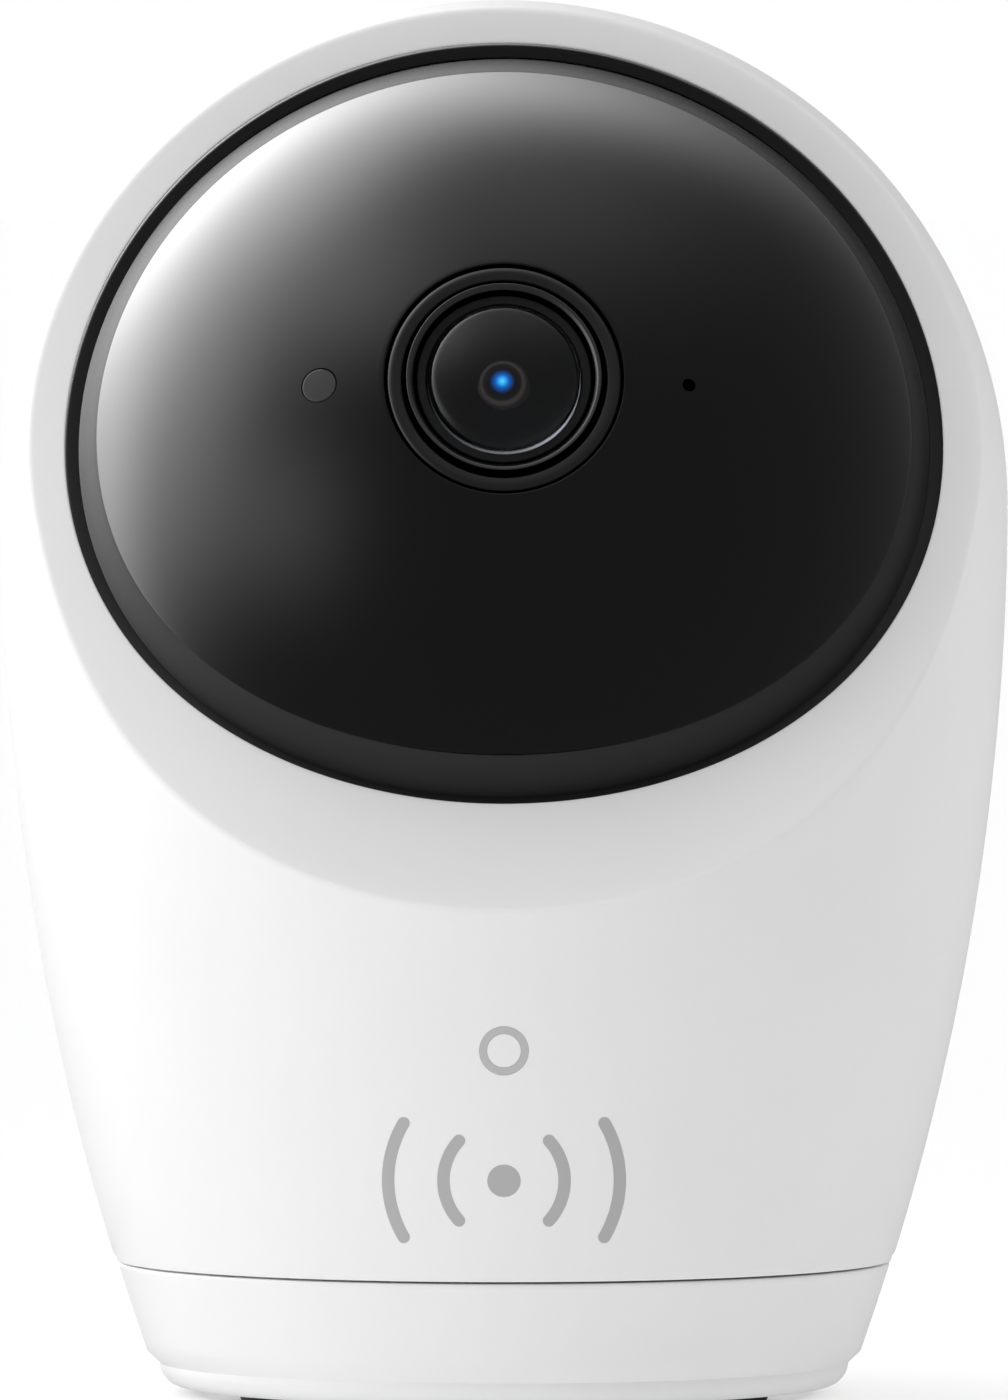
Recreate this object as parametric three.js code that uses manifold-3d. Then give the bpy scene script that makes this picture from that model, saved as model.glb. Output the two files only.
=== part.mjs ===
// Indoor pan and tilt security camera, built as an assembly of separate pieces.
// Millimetres. +Z is up, the lens looks towards -Y, and +X is to the right of the front view.
// The origin is the middle of the base's flat underside, on the pan axis.

import * as THREE from 'three';
import { mergeVertices } from 'three/addons/utils/BufferGeometryUtils.js';
import Module from 'manifold-3d';

const wasm = await Module();
wasm.setup();

// ---- Clearances ----
const gap = 0.3;                 // between pieces that sit against each other
const runGap = 0.2;              // round a pin or shaft that turns
const seamGap = 0.3;             // parting lines of the white covers
const trimGap = 0.15;            // round small trim pieces

// ---- Outer form ----
const head = {
  radius: 38.94,                 // ball-shaped top of the white body
  centreHeight: 68.2,            // centre of that ball, and of the camera ball, above the underside
  wall: 2.2,
  openingInset: 2.74,            // the edge of the round opening lies this far inside the ball shape
  faceAxisDistance: 102.0,       // the hollow face is a cylinder about X, this far in front
  faceAxisLift: 21.0,            // degrees above level
  faceRadius: 88.6,
  faceWall: 2.0,
  splitY: 4,                     // plane that parts the front shell from the rear cover
};
const liner = { seat: 0.2, thickness: 1.0, recess: 0.7, depth: 4.8 };

const base = {
  bottomRadius: 26.82,           // where the side profile meets the underside
  height: 9.45,                  // top edge of the base, at the pan seam
  wall: 2.2,
  setBack: 0.15,                 // the body overhangs the base by this much
  cornerRadius: 1.8,
  rim: 3.07,                     // the tub's own ring of underside, round the plate
  lipWidth: 2.1,
  lipThickness: 1.2,
  plateThickness: 2.2,
  deckThickness: 1.8,
  deckTop: 9.2,
};
const foot = { radius: 4.0, inset: 4.48, angle: 31.5, stand: 0.6, seat: 0.8 };
const bracketSlot = { circleRadius: 11, width: 4.4, entryRadius: 3.6, sweep: 40, count: 3, startAngle: 90 };
const baseScrew = { inset: 3.1, headRadius: 1.9, headHeight: 1.1, shankRadius: 0.9, length: 6.2,
  postWall: 1.3, angles: [270, 55, 125] };
const ballast = { innerRadius: 8, lipGap: 4.5, bottom: 4.7, thickness: 2.3 };
const inlet = { width: 9.0, height: 3.2, depth: 7.3, skin: 0.4, centreHeight: 5.0, setIn: 0.22,
  tongueWidth: 6.6, tongueThickness: 0.7, boardThickness: 0.6, boardWidth: 14 };

// ---- Pan bearing and gear train ----
const pan = {
  bossRadius: 9.0,
  boreRadius: 6.0,
  plateThickness: 2.0,
  glideInset: 3.9,
  glideWidth: 3.4,
  glideSeat: 0.6,
  module: 0.7,
  ringTeeth: 40,
  pinionTeeth: 12,
  gearThickness: 3.0,
  pinionAngle: 235,              // degrees about the pan axis
  retainerThickness: 0.8,
  retainerRadius: 11.5,
};
const motor = { panRoom: 2.5, panHeight: 12, tiltLength: 14, tiltRoom: 0.46, shaftRadius: 1.0,
  shaftInsert: 2.4, earReach: 3.0, earRadius: 2.2, earThickness: 0.9 };

// ---- Camera ball ----
const ball = {
  linerGap: 0.5,                 // between the liner and the face of the dark window
  shellStep: 0.1,                // the shell lies this far under the window's face
  wall: 2.8,
  restLift: 18.0,                // degrees the lens looks up in the stored pose
  splitY: 9,                     // plane behind the centre that parts its two shells
  rearWall: 2.2,
  flatDepth: 1.3,                // flats at the tilt pivots
  bossRadius: 8,
  bossLength: 3.4,
};
const visor = { thickness: 1.2, cutDistance: 86.2, cutLift: 3.9, cutRadius: 71.7 };
const yoke = { ballGap: 0.35, thickness: 1.0, halfWidth: 5.5, hubRadius: 7,
  legInset: 3.5, legThickness: 3, legHalfWidth: 5 };
const pivot = { radius: 3.0, headRadius: 4.6, headThickness: 1.4, reach: 0.8 };
const tilt = { module: 0.5, ringTeeth: 28, pinionTeeth: 12, gearThickness: 3.0 };

// ---- Lens stack, about the lens axis; depths are from the face of the window on that axis ----
const lens = {
  ringOuter: 9.0,
  ringInner: 7.7,
  ringFront: 1.3,
  ringChamfer: 0.7,
  ringDepth: 4.2,
  trimOuter: 7.4,
  trimInner: 6.9,
  trimFront: 0.7,
  trimDepth: 1.6,
  barrelOuter: 6.6,
  barrelFront: 1.4,
  barrelLength: 18.1,
  glassRadius: 5.8,
  glassFront: -0.3,
  glassBulge: 1.1,
  glassEdge: 1.6,
  stopFront: 2.7,
  stopSlope: 0.5,
  stopHole: 1.9,
  rearLensBulge: 0.6,
};
const sideHole = { x: 14.04, windowRadius: 1.3, micRadius: 0.5, micBodyRadius: 2.0 };

// ---- Details of the white body ----
const light = { height: 27.6, outerRadius: 1.86, innerRadius: 1.3, depth: 5.0 };
const grille = { height: 24, holeRadius: 0.8, pitch: 2.6, rings: 2 };
const speaker = { radius: 8.0, thickness: 2.2, wallGap: 4.2, magnetRadius: 5.0, magnetDepth: 3.0 };
const button = { height: 38, radius: 2.2, flangeRadius: 3.0, flangeThickness: 0.8, travel: 0.6 };
const board = { thickness: 1.2, controlHalfWidth: 9, controlHeight: 18, frontDepth: 12.0, frontRoom: 1.7,
  sensorHalf: 10, mainGap: 5.0, mainRoom: 1.7 };
const antenna = { halfWidth: 6, height: 14, thickness: 0.6, edge: 0.8 };

// ---- Facet counts ----
const round = { body: 40, egg: 7, flank: 4, ball: 32, ballInside: 20, seat: 32, face: 72, disc: 20,
  small: 12, hole: 8, plate: 28 };

// ---- Sizes worked out from the ones above ----
const deg = THREE.MathUtils.degToRad;
const across = (radius, offset) => Math.sqrt(radius ** 2 - offset ** 2);
const taper = head.radius - base.bottomRadius;
const flankRadius = (head.centreHeight ** 2 + taper ** 2) / (2 * taper);
const cavityRadius = head.radius - head.openingInset;
const linerOuter = cavityRadius - liner.seat;
const linerInner = linerOuter - liner.thickness;
const ballRadius = linerInner - ball.linerGap;
const shellRadius = ballRadius - ball.shellStep;
const ballInside = shellRadius - ball.wall;
const ballFlat = ballRadius - ball.flatDepth;
const bossInner = ballFlat - ball.bossLength;
const yokeInner = ballRadius + yoke.ballGap;
const yokeOuter = yokeInner + yoke.thickness;
const bodyBottom = base.height + seamGap;
const plateRadius = base.bottomRadius - base.setBack - base.rim;
const lipRadius = plateRadius - base.lipWidth;
const footCircle = plateRadius - foot.inset;
const screwCircle = plateRadius - baseScrew.inset;
const panPlateBottom = bodyBottom + 0.4;
const panRingRadius = pan.module * pan.ringTeeth / 2;
const panPinionRadius = pan.module * pan.pinionTeeth / 2;
const panCentres = panRingRadius + panPinionRadius;
const panPinionX = panCentres * Math.cos(deg(pan.pinionAngle));
const panPinionY = panCentres * Math.sin(deg(pan.pinionAngle));
const panPlateTop = panPlateBottom + pan.plateThickness;
const panGearBottom = panPlateTop + 2 * gap;
const panGearTop = panGearBottom + pan.gearThickness;
const bossTop = panGearTop + 2 * gap + pan.retainerThickness;
const panMotorBottom = bossTop + gap;
const tiltRingRadius = tilt.module * tilt.ringTeeth / 2;
const tiltPinionRadius = tilt.module * tilt.pinionTeeth / 2;
const tiltCentres = tiltRingRadius + tiltPinionRadius;
const pivotHeadOuter = bossInner - gap;
const pivotHeadInner = pivotHeadOuter - pivot.headThickness;
const tiltGearInner = pivotHeadInner - gap - tilt.gearThickness;
const tiltMotorOuter = tiltGearInner - gap;
const tiltMotorRadius = across(ballInside, tiltMotorOuter) - tiltCentres - motor.tiltRoom;
const visorFloor = ballRadius - visor.thickness - gap;
const far = 4 * head.radius;     // longer than anything that it cuts

// ---- Materials ----
const finish = (color, roughness, metalness = 0) => (
  new THREE.MeshStandardMaterial({ color, roughness, metalness }));
const finishes = {
  whitePlastic: finish(0xf1f1ef, 0.45),
  whiteTrim: finish(0xe6e6e4, 0.5),
  lightGuide: finish(0xc4c4c4, 0.35),
  blackPlastic: finish(0x141415, 0.5),
  bezelPlastic: finish(0x3c3c3d, 0.42),
  glossBlack: finish(0x08080a, 0.06),
  lensRing: finish(0x1c1c1d, 0.35),
  lensTrim: finish(0x6a6a6c, 0.3, 0.6),
  lensGlass: finish(0x0a0d14, 0.03),
  coatedGlass: finish(0x0b3a66, 0.05),
  rubber: finish(0x2b2b2c, 0.85),
  steel: finish(0x9a9c9f, 0.35, 1),
  motorSteel: finish(0xb4b6b8, 0.3, 1),
  acetal: finish(0xe9e7df, 0.5),
  circuitBoard: finish(0x1d5b3a, 0.55),
  chip: finish(0x1a1a1c, 0.45),
  ledLens: finish(0x3a2c33, 0.15),
  copperFlex: finish(0xb56b3a, 0.45, 0.4),
  cable: finish(0x303032, 0.6),
};

// ---- Shape helpers ----

// A closed solid from a geometry: shared corners joined, empty triangles dropped, faces turned outwards.
function solid(geometry) {
  const bare = geometry.clone();
  bare.deleteAttribute('normal');
  bare.deleteAttribute('uv');
  const merged = mergeVertices(bare, 1e-4);
  const position = merged.getAttribute('position');
  const corners = merged.getIndex().array;
  const a = new THREE.Vector3();
  const b = new THREE.Vector3();
  const c = new THREE.Vector3();
  const kept = [];
  let volume = 0;
  for (let i = 0; i < corners.length; i += 3) {
    const [p, q, r] = [corners[i], corners[i + 1], corners[i + 2]];
    if (p === q || q === r || r === p) continue;
    kept.push(p, q, r);
    a.fromBufferAttribute(position, p);
    b.fromBufferAttribute(position, q);
    c.fromBufferAttribute(position, r);
    volume += a.dot(b.cross(c));
  }
  if (volume < 0) kept.reverse();
  return new wasm.Manifold(new wasm.Mesh({
    numProp: 3,
    vertProperties: Float32Array.from(position.array),
    triVerts: Uint32Array.from(kept),
  }));
}

function geometryOf(body) {
  const mesh = body.getMesh();
  const geometry = new THREE.BufferGeometry();
  geometry.setAttribute('position', new THREE.BufferAttribute(mesh.vertProperties, 3));
  geometry.setIndex(new THREE.BufferAttribute(mesh.triVerts, 1));
  geometry.computeVertexNormals();
  return geometry;
}

// An outline of [radius, along] points turned about Z.
function turned(outline, segments) {
  const points = outline.map(([r, along]) => new THREE.Vector2(r, along));
  const geometry = new THREE.LatheGeometry(points, segments);
  geometry.rotateX(Math.PI / 2);
  return solid(geometry);
}

// The same, turned about the lens axis Y.
function turnedY(outline, segments) {
  const points = outline.map(([r, along]) => new THREE.Vector2(r, along));
  return solid(new THREE.LatheGeometry(points, segments));
}

// A ring with a rectangular section, about Z.
function ring(inner, outer, bottom, top, segments) {
  return turned([[inner, bottom], [outer, bottom], [outer, top], [inner, top], [inner, bottom]], segments);
}

function rod(radius, bottom, top, segments, x = 0, y = 0) {
  const geometry = new THREE.CylinderGeometry(radius, radius, top - bottom, segments);
  geometry.rotateX(Math.PI / 2);
  geometry.translate(x, y, (top + bottom) / 2);
  return solid(geometry);
}

function rodX(radius, from, to, segments, y = 0, z = 0) {
  const geometry = new THREE.CylinderGeometry(radius, radius, Math.abs(to - from), segments);
  geometry.rotateZ(Math.PI / 2);
  geometry.translate((from + to) / 2, y, z);
  return solid(geometry);
}

function rodY(radius, from, to, segments, x = 0, z = 0) {
  const geometry = new THREE.CylinderGeometry(radius, radius, Math.abs(to - from), segments);
  geometry.translate(x, (from + to) / 2, z);
  return solid(geometry);
}

// A box from its lowest to its highest corner.
function block(low, high) {
  const size = high.map((value, i) => value - low[i]);
  const middle = high.map((value, i) => (value + low[i]) / 2);
  const geometry = new THREE.BoxGeometry(...size);
  geometry.translate(...middle);
  return solid(geometry);
}

// A ball about the origin, its poles on the lens axis.
function sphere(radius, segments = round.ball) {
  return solid(new THREE.SphereGeometry(radius, segments, segments / 2));
}

// A long cylinder about X whose axis is set by a distance and a lift above the -Y direction.
function crossCylinder(radius, distance, lift, height = 0) {
  const y = -distance * Math.cos(deg(lift));
  const z = distance * Math.sin(deg(lift)) + height;
  return rodX(radius, -far, far, round.face, y, z);
}

// Everything on one side of a plane across Y.
const inFrontOf = (y) => block([-far, -far, -far], [far, y, far]);
const behind = (y) => block([-far, y, -far], [far, far, far]);

// A spur gear about Z with involute flanks, a tooth centred on +X, and a round bore.
function gear(teeth, module, thickness, boreRadius) {
  const pressure = deg(25);
  const backlash = 0.12;
  const pitch = module * teeth / 2;
  const tip = pitch + 0.8 * module;
  const root = pitch - 1.15 * module;
  const baseRadius = pitch * Math.cos(pressure);
  const involute = (r) => {
    const roll = Math.acos(Math.min(1, baseRadius / r));
    return Math.tan(roll) - roll;
  };
  const halfAtPitch = (Math.PI * module / 2 - backlash) / 2 / pitch;
  const half = (r) => halfAtPitch + involute(pitch) - involute(Math.max(r, baseRadius));
  const flank = [root, pitch, tip];
  const outline = [];
  for (let i = 0; i < teeth; i += 1) {
    const centre = 2 * Math.PI * i / teeth;
    for (const r of flank) outline.push([r, centre - half(r)]);
    for (const r of [...flank].reverse()) outline.push([r, centre + half(r)]);
  }
  const points = outline.map(([r, a]) => new THREE.Vector2(r * Math.cos(a), r * Math.sin(a)));
  const shape = new THREE.Shape(points.filter((p, i) => i === 0 || p.distanceTo(points[i - 1]) > 1e-3));
  if (boreRadius > 0) {
    shape.holes.push(new THREE.Path().absarc(0, 0, boreRadius, 0, 2 * Math.PI, true));
  }
  const options = { depth: thickness, bevelEnabled: false, curveSegments: 10 };
  return solid(new THREE.ExtrudeGeometry(shape, options));
}

// A hexagonal field of places: the middle, then rings of 6, 12 and so on.
function hexField(pitch, rings) {
  const places = [];
  for (let u = -rings; u <= rings; u += 1) {
    for (let v = -rings; v <= rings; v += 1) {
      if (Math.abs(u + v) <= rings) places.push([pitch * (u + v / 2), pitch * v * Math.sqrt(3) / 2]);
    }
  }
  return places;
}

const camera = new THREE.Group();
const ballGroup = new THREE.Group();
ballGroup.position.set(0, 0, head.centreHeight);
ballGroup.rotation.x = -deg(ball.restLift);
camera.add(ballGroup);

// Puts a finished piece into the assembly under its own name.
function piece(name, body, material, parent = camera) {
  const mesh = new THREE.Mesh(geometryOf(body), material);
  mesh.name = name;
  parent.add(mesh);
  return mesh;
}

// ---- Outer form of body and base ----

// Radius of the outer form at a height: a ball above its centre, a long arc below it.
function formRadius(z) {
  const drop = head.centreHeight - z;
  if (drop < 0) return across(head.radius, drop);
  return head.radius - flankRadius + across(flankRadius, drop);
}

// The outer form pulled in by an amount, as a solid that stands from a height to the crown.
function eggSolid(inset, bottom, segments) {
  const outline = [[0, bottom]];
  for (let i = 0; i <= round.flank; i += 1) {
    const z = bottom + (head.centreHeight - bottom) * i / round.flank;
    outline.push([formRadius(z) - inset, z]);
  }
  for (let i = 1; i < round.egg; i += 1) {
    const angle = Math.PI / 2 * i / round.egg;
    const r = head.radius - inset;
    outline.push([r * Math.cos(angle), head.centreHeight + r * Math.sin(angle)]);
  }
  outline.push([0, head.centreHeight + head.radius - inset]);
  return turned(outline, segments);
}

const atBall = (body) => body.translate([0, 0, head.centreHeight]);
const faceCylinder = (extra) => crossCylinder(
  head.faceRadius + extra, head.faceAxisDistance, head.faceAxisLift, head.centreHeight);

// ---- White body: front shell and rear cover ----
function bodyShell() {
  const inside = eggSolid(head.wall, bodyBottom - head.wall, round.body)
    .subtract(faceCylinder(head.faceWall))
    .add(atBall(sphere(cavityRadius, round.seat)));
  return eggSolid(0, bodyBottom, round.body).subtract(faceCylinder(0)).subtract(inside);
}

function lightSeat() {
  return rodY(light.outerRadius + trimGap, -head.radius, -formRadius(light.height) + light.depth,
    round.small, 0, light.height);
}

const speakerBack = formRadius(grille.height) - head.wall - speaker.wallGap;
function grilleHoles() {
  const holes = hexField(grille.pitch, grille.rings).map(([x, dz]) => (
    rodY(grille.holeRadius, speakerBack, head.radius, 8, x, grille.height + dz)));
  return wasm.Manifold.union(holes);
}

const shell = bodyShell();
piece('front_shell', shell.intersect(inFrontOf(head.splitY - seamGap / 2)).subtract(lightSeat()),
  finishes.whitePlastic);
const buttonSeat = rodY(button.radius + runGap, formRadius(button.height) - 2 * head.wall,
  head.radius, round.small, 0, button.height);
piece('rear_cover', shell.intersect(behind(head.splitY + seamGap / 2))
  .subtract(grilleHoles()).subtract(buttonSeat), finishes.whitePlastic);

// ---- Black liner behind the edge of the opening ----
const linerBand = sphere(linerOuter, round.seat).subtract(sphere(linerInner, round.seat));
piece('opening_liner', atBall(linerBand)
  .subtract(faceCylinder(liner.recess))
  .intersect(faceCylinder(liner.recess + liner.depth)), finishes.blackPlastic);

// ---- Status light: a light guide ring round a white core, flush with the body ----
const lightFace = eggSolid(0, bodyBottom, round.body);
const lightBack = -formRadius(light.height) + light.depth - trimGap;
const lightTube = rodY(light.outerRadius, -head.radius, lightBack, round.small, 0, light.height)
  .subtract(rodY(light.innerRadius + trimGap, -head.radius, head.radius, round.small, 0, light.height));
piece('status_light_ring', lightTube.intersect(lightFace), finishes.lightGuide);
piece('status_light_core', rodY(light.innerRadius, -head.radius, lightBack, round.small, 0, light.height)
  .intersect(lightFace), finishes.whiteTrim);

// ---- Base: tub, bottom plate, deck with the pan boss ----
function baseShell() {
  const low = base.bottomRadius - base.setBack;
  const outline = [[plateRadius + gap, 0]];
  for (let i = 0; i <= 4; i += 1) {
    const angle = -Math.PI / 2 + Math.PI / 2 * i / 4;
    const r = low - base.cornerRadius * (1 - Math.cos(angle));
    outline.push([r, base.cornerRadius * (1 + Math.sin(angle))]);
  }
  const steps = 3;
  for (let i = 1; i <= steps; i += 1) {
    const z = base.cornerRadius + (base.height - base.cornerRadius) * i / steps;
    outline.push([formRadius(z) - base.setBack, z]);
  }
  const inner = (z) => formRadius(z) - base.setBack - base.wall;
  const lipBottom = base.plateThickness + gap;
  outline.push([inner(base.height), base.height]);
  outline.push([inner(lipBottom + base.lipThickness), lipBottom + base.lipThickness]);
  outline.push([lipRadius, lipBottom + base.lipThickness]);
  outline.push([lipRadius, lipBottom]);
  outline.push([plateRadius + gap, lipBottom]);
  outline.push([plateRadius + gap, 0]);
  return turned(outline, round.body);
}

// A rounded slot through which a plug goes, along Y.
function roundedSlot(width, height, from, to, z) {
  const radius = height / 2;
  const reach = width / 2 - radius;
  return rodY(radius, from, to, round.small, -reach, z)
    .add(rodY(radius, from, to, round.small, reach, z))
    .add(block([-reach, Math.min(from, to), z - radius], [reach, Math.max(from, to), z + radius]));
}

const boardBottom = inlet.centreHeight - inlet.height / 2 - gap - inlet.boardThickness;
const inletFace = formRadius(inlet.centreHeight) - base.setBack - inlet.setIn;
const inletBack = inletFace - inlet.depth;
const boardFront = inletBack - 3;
const boardBack = inletFace - 2 * base.wall;
const lipNotch = block([-inlet.boardWidth / 2 - gap, boardFront, base.plateThickness],
  [inlet.boardWidth / 2 + gap, boardBack + gap, base.height]);
const screwPlaces = baseScrew.angles.map((angle) => [
  screwCircle * Math.cos(deg(angle)), screwCircle * Math.sin(deg(angle))]);
const postRadius = baseScrew.shankRadius + baseScrew.postWall;
const postRoom = wasm.Manifold.union(screwPlaces.map(([x, y]) => (
  rod(postRadius + gap, base.plateThickness, base.height - base.wall, round.hole, x, y))));
piece('base_shell', baseShell()
  .subtract(postRoom)
  .subtract(roundedSlot(inlet.width + 2 * gap, inlet.height + 2 * gap, boardBack, far, inlet.centreHeight))
  .subtract(lipNotch), finishes.whitePlastic);

const footPlaces = [[-1, -1], [1, -1], [1, 1], [-1, 1]].map(([i, j]) => [
  i * footCircle * Math.cos(deg(foot.angle)), j * footCircle * Math.sin(deg(foot.angle))]);

// One twist-lock slot: a round entry and a narrower curved track.
function twistSlot(startAngle) {
  const shape = new THREE.Shape();
  const inner = bracketSlot.circleRadius - bracketSlot.width / 2;
  const outer = bracketSlot.circleRadius + bracketSlot.width / 2;
  const from = deg(startAngle);
  const to = deg(startAngle + bracketSlot.sweep);
  shape.absarc(0, 0, outer, from, to, false);
  shape.absarc(0, 0, inner, to, from, true);
  const track = new THREE.ExtrudeGeometry(shape, { depth: 3 * base.plateThickness, bevelEnabled: false,
    curveSegments: 6 });
  track.translate(0, 0, -base.plateThickness);
  const entry = rod(bracketSlot.entryRadius, -base.plateThickness, 2 * base.plateThickness, round.small,
    bracketSlot.circleRadius * Math.cos(from), bracketSlot.circleRadius * Math.sin(from));
  return solid(track).add(entry);
}

function basePlate() {
  let plate = rod(plateRadius, 0, base.plateThickness, round.plate);
  for (const [x, y] of footPlaces) {
    plate = plate.subtract(rod(foot.radius + trimGap, -1, foot.seat, round.small, x, y));
  }
  for (const [x, y] of screwPlaces) {
    const sink = baseScrew.headHeight + trimGap;
    plate = plate.subtract(rod(baseScrew.headRadius + trimGap, -1, sink, round.small, x, y));
    plate = plate.subtract(rod(baseScrew.shankRadius + trimGap, -1, far, round.hole, x, y));
  }
  for (let i = 0; i < bracketSlot.count; i += 1) {
    plate = plate.subtract(twistSlot(bracketSlot.startAngle + 360 * i / bracketSlot.count));
  }
  return plate;
}
piece('base_plate', basePlate(), finishes.whiteTrim);

footPlaces.forEach(([x, y], i) => {
  const seatTop = foot.seat - trimGap;
  const outline = [[0, -foot.stand], [foot.radius - 0.3, -foot.stand], [foot.radius, 0.3 - foot.stand],
    [foot.radius, seatTop], [0, seatTop]];
  piece(`rubber_foot_${i + 1}`, turned(outline, round.small).translate([x, y, 0]), finishes.rubber);
});

function crossHeadScrew(headRadius, headHeight, shankRadius, length) {
  const outline = [[0, 0], [headRadius, 0], [headRadius, headHeight], [shankRadius, headHeight],
    [shankRadius, headHeight + length], [0, headHeight + length]];
  const reach = headRadius * 0.6;
  const blade = headRadius * 0.14;
  const depth = headHeight * 0.6;
  return turned(outline, round.small)
    .subtract(block([-reach, -blade, -1], [reach, blade, depth]))
    .subtract(block([-blade, -reach, -1], [blade, reach, depth]));
}
screwPlaces.forEach(([x, y], i) => {
  piece(`base_screw_${i + 1}`, crossHeadScrew(baseScrew.headRadius, baseScrew.headHeight,
    baseScrew.shankRadius, baseScrew.length - baseScrew.headHeight).translate([x, y, 0]), finishes.steel);
});

const turntableRadius = formRadius(bodyBottom) - head.wall - gap;
const glideOuter = turntableRadius - pan.glideInset;
const glideInner = glideOuter - pan.glideWidth;
function baseDeck() {
  const bottom = base.deckTop - base.deckThickness;
  const edge = formRadius(base.deckTop) - base.setBack - base.wall - gap;
  const edgeLow = formRadius(bottom) - base.setBack - base.wall - gap;
  const seat = base.deckTop - pan.glideSeat;
  let deck = turned([
    [pan.boreRadius, bottom], [edgeLow, bottom], [edge, base.deckTop],
    [glideOuter + trimGap, base.deckTop], [glideOuter + trimGap, seat],
    [glideInner - trimGap, seat], [glideInner - trimGap, base.deckTop],
    [pan.bossRadius, base.deckTop], [pan.bossRadius, bossTop],
    [pan.boreRadius, bossTop], [pan.boreRadius, bottom]], round.plate);
  for (const [x, y] of screwPlaces) {
    const post = rod(postRadius, base.plateThickness + gap, bottom + 0.4, round.hole, x, y);
    deck = deck.add(post);
    deck = deck.subtract(rod(baseScrew.shankRadius + trimGap, 0, baseScrew.length + gap, round.hole, x, y));
  }
  return deck;
}
piece('base_deck', baseDeck(), finishes.blackPlastic);
const boardRoom = block([-inlet.boardWidth / 2 - gap, boardFront - gap, 0],
  [inlet.boardWidth / 2 + gap, far, far]);
piece('ballast_ring', ring(ballast.innerRadius, lipRadius - ballast.lipGap, ballast.bottom,
  ballast.bottom + ballast.thickness, round.plate).subtract(boardRoom), finishes.steel);

// ---- Power inlet: metal shell, contact tongue and the board that carries them ----
const inletMouth = roundedSlot(inlet.width - 2 * inlet.skin, inlet.height - 2 * inlet.skin,
  inletBack + inlet.skin, far, inlet.centreHeight);
piece('power_inlet', roundedSlot(inlet.width, inlet.height, inletBack, inletFace, inlet.centreHeight)
  .subtract(inletMouth), finishes.steel);
piece('inlet_tongue', block(
  [-inlet.tongueWidth / 2, inletBack + inlet.skin + gap, inlet.centreHeight - inlet.tongueThickness / 2],
  [inlet.tongueWidth / 2, inletFace - 0.8, inlet.centreHeight + inlet.tongueThickness / 2]),
finishes.blackPlastic);
piece('power_board', block([-inlet.boardWidth / 2, boardFront + gap, boardBottom],
  [inlet.boardWidth / 2, boardBack, boardBottom + inlet.boardThickness]), finishes.circuitBoard);

// ---- Pan bearing and ring gear, both fixed to the base ----
piece('pan_glide_ring', ring(glideInner, glideOuter, base.deckTop - pan.glideSeat + trimGap,
  panPlateBottom - gap, round.plate), finishes.acetal);
piece('pan_ring_gear', gear(pan.ringTeeth, pan.module, pan.gearThickness, pan.bossRadius + runGap)
  .rotate([0, 0, pan.pinionAngle]).translate([0, 0, panGearBottom]), finishes.acetal);
piece('gear_retainer', ring(pan.bossRadius + runGap, pan.retainerRadius, panGearTop + gap,
  panGearTop + gap + pan.retainerThickness, round.disc), finishes.steel);
piece('centre_cable', rod(2.0, base.plateThickness + 1.2, bossTop + 5, 12), finishes.cable);

// ---- Turntable that carries everything in the body ----
const panMotorRadius = formRadius(panMotorBottom) - head.wall - panCentres - motor.panRoom;
const earReach = panMotorRadius + motor.earReach;
function headChassis() {
  let chassis = ring(pan.bossRadius + 2 * runGap, turntableRadius, panPlateBottom, panPlateTop, round.plate);
  for (const angle of [pan.pinionAngle - 90, pan.pinionAngle + 90]) {
    const x = panPinionX + earReach * Math.cos(deg(angle));
    const y = panPinionY + earReach * Math.sin(deg(angle));
    chassis = chassis.add(rod(motor.earRadius, panPlateTop - 0.5, panMotorBottom - gap, round.hole, x, y));
  }
  return chassis.subtract(rod(motor.shaftRadius + 0.6, panPlateBottom - 1, panPlateTop + 0.1,
    round.hole, panPinionX, panPinionY));
}
piece('head_chassis', headChassis(), finishes.blackPlastic);

// ---- Pan motor and its pinion ----
function panMotor() {
  const top = panMotorBottom + motor.panHeight;
  let can = rod(panMotorRadius, panMotorBottom, top, round.disc, panPinionX, panPinionY);
  for (const angle of [pan.pinionAngle - 90, pan.pinionAngle + 90]) {
    const x = panPinionX + earReach * Math.cos(deg(angle));
    const y = panPinionY + earReach * Math.sin(deg(angle));
    const ear = rod(motor.earRadius, panMotorBottom, panMotorBottom + motor.earThickness, round.hole, x, y);
    const web = block([0, -motor.earRadius, 0], [earReach, motor.earRadius, motor.earThickness])
      .rotate([0, 0, angle]).translate([panPinionX, panPinionY, panMotorBottom]);
    can = can.add(ear).add(web);
  }
  return can.subtract(rod(motor.shaftRadius + runGap, panMotorBottom - 1,
    panMotorBottom + motor.shaftInsert + gap, round.hole, panPinionX, panPinionY));
}
piece('pan_motor', panMotor(), finishes.motorSteel);
const meshTurn = (angle, teeth) => angle + 180 + 180 / teeth;
piece('pan_pinion', gear(pan.pinionTeeth, pan.module, pan.gearThickness, 0)
  .rotate([0, 0, meshTurn(pan.pinionAngle, pan.pinionTeeth)])
  .translate([0, 0, panGearBottom])
  .add(rod(motor.shaftRadius, panGearBottom - gap / 2, panMotorBottom + motor.shaftInsert, round.hole))
  .translate([panPinionX, panPinionY, 0]), finishes.acetal);

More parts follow.
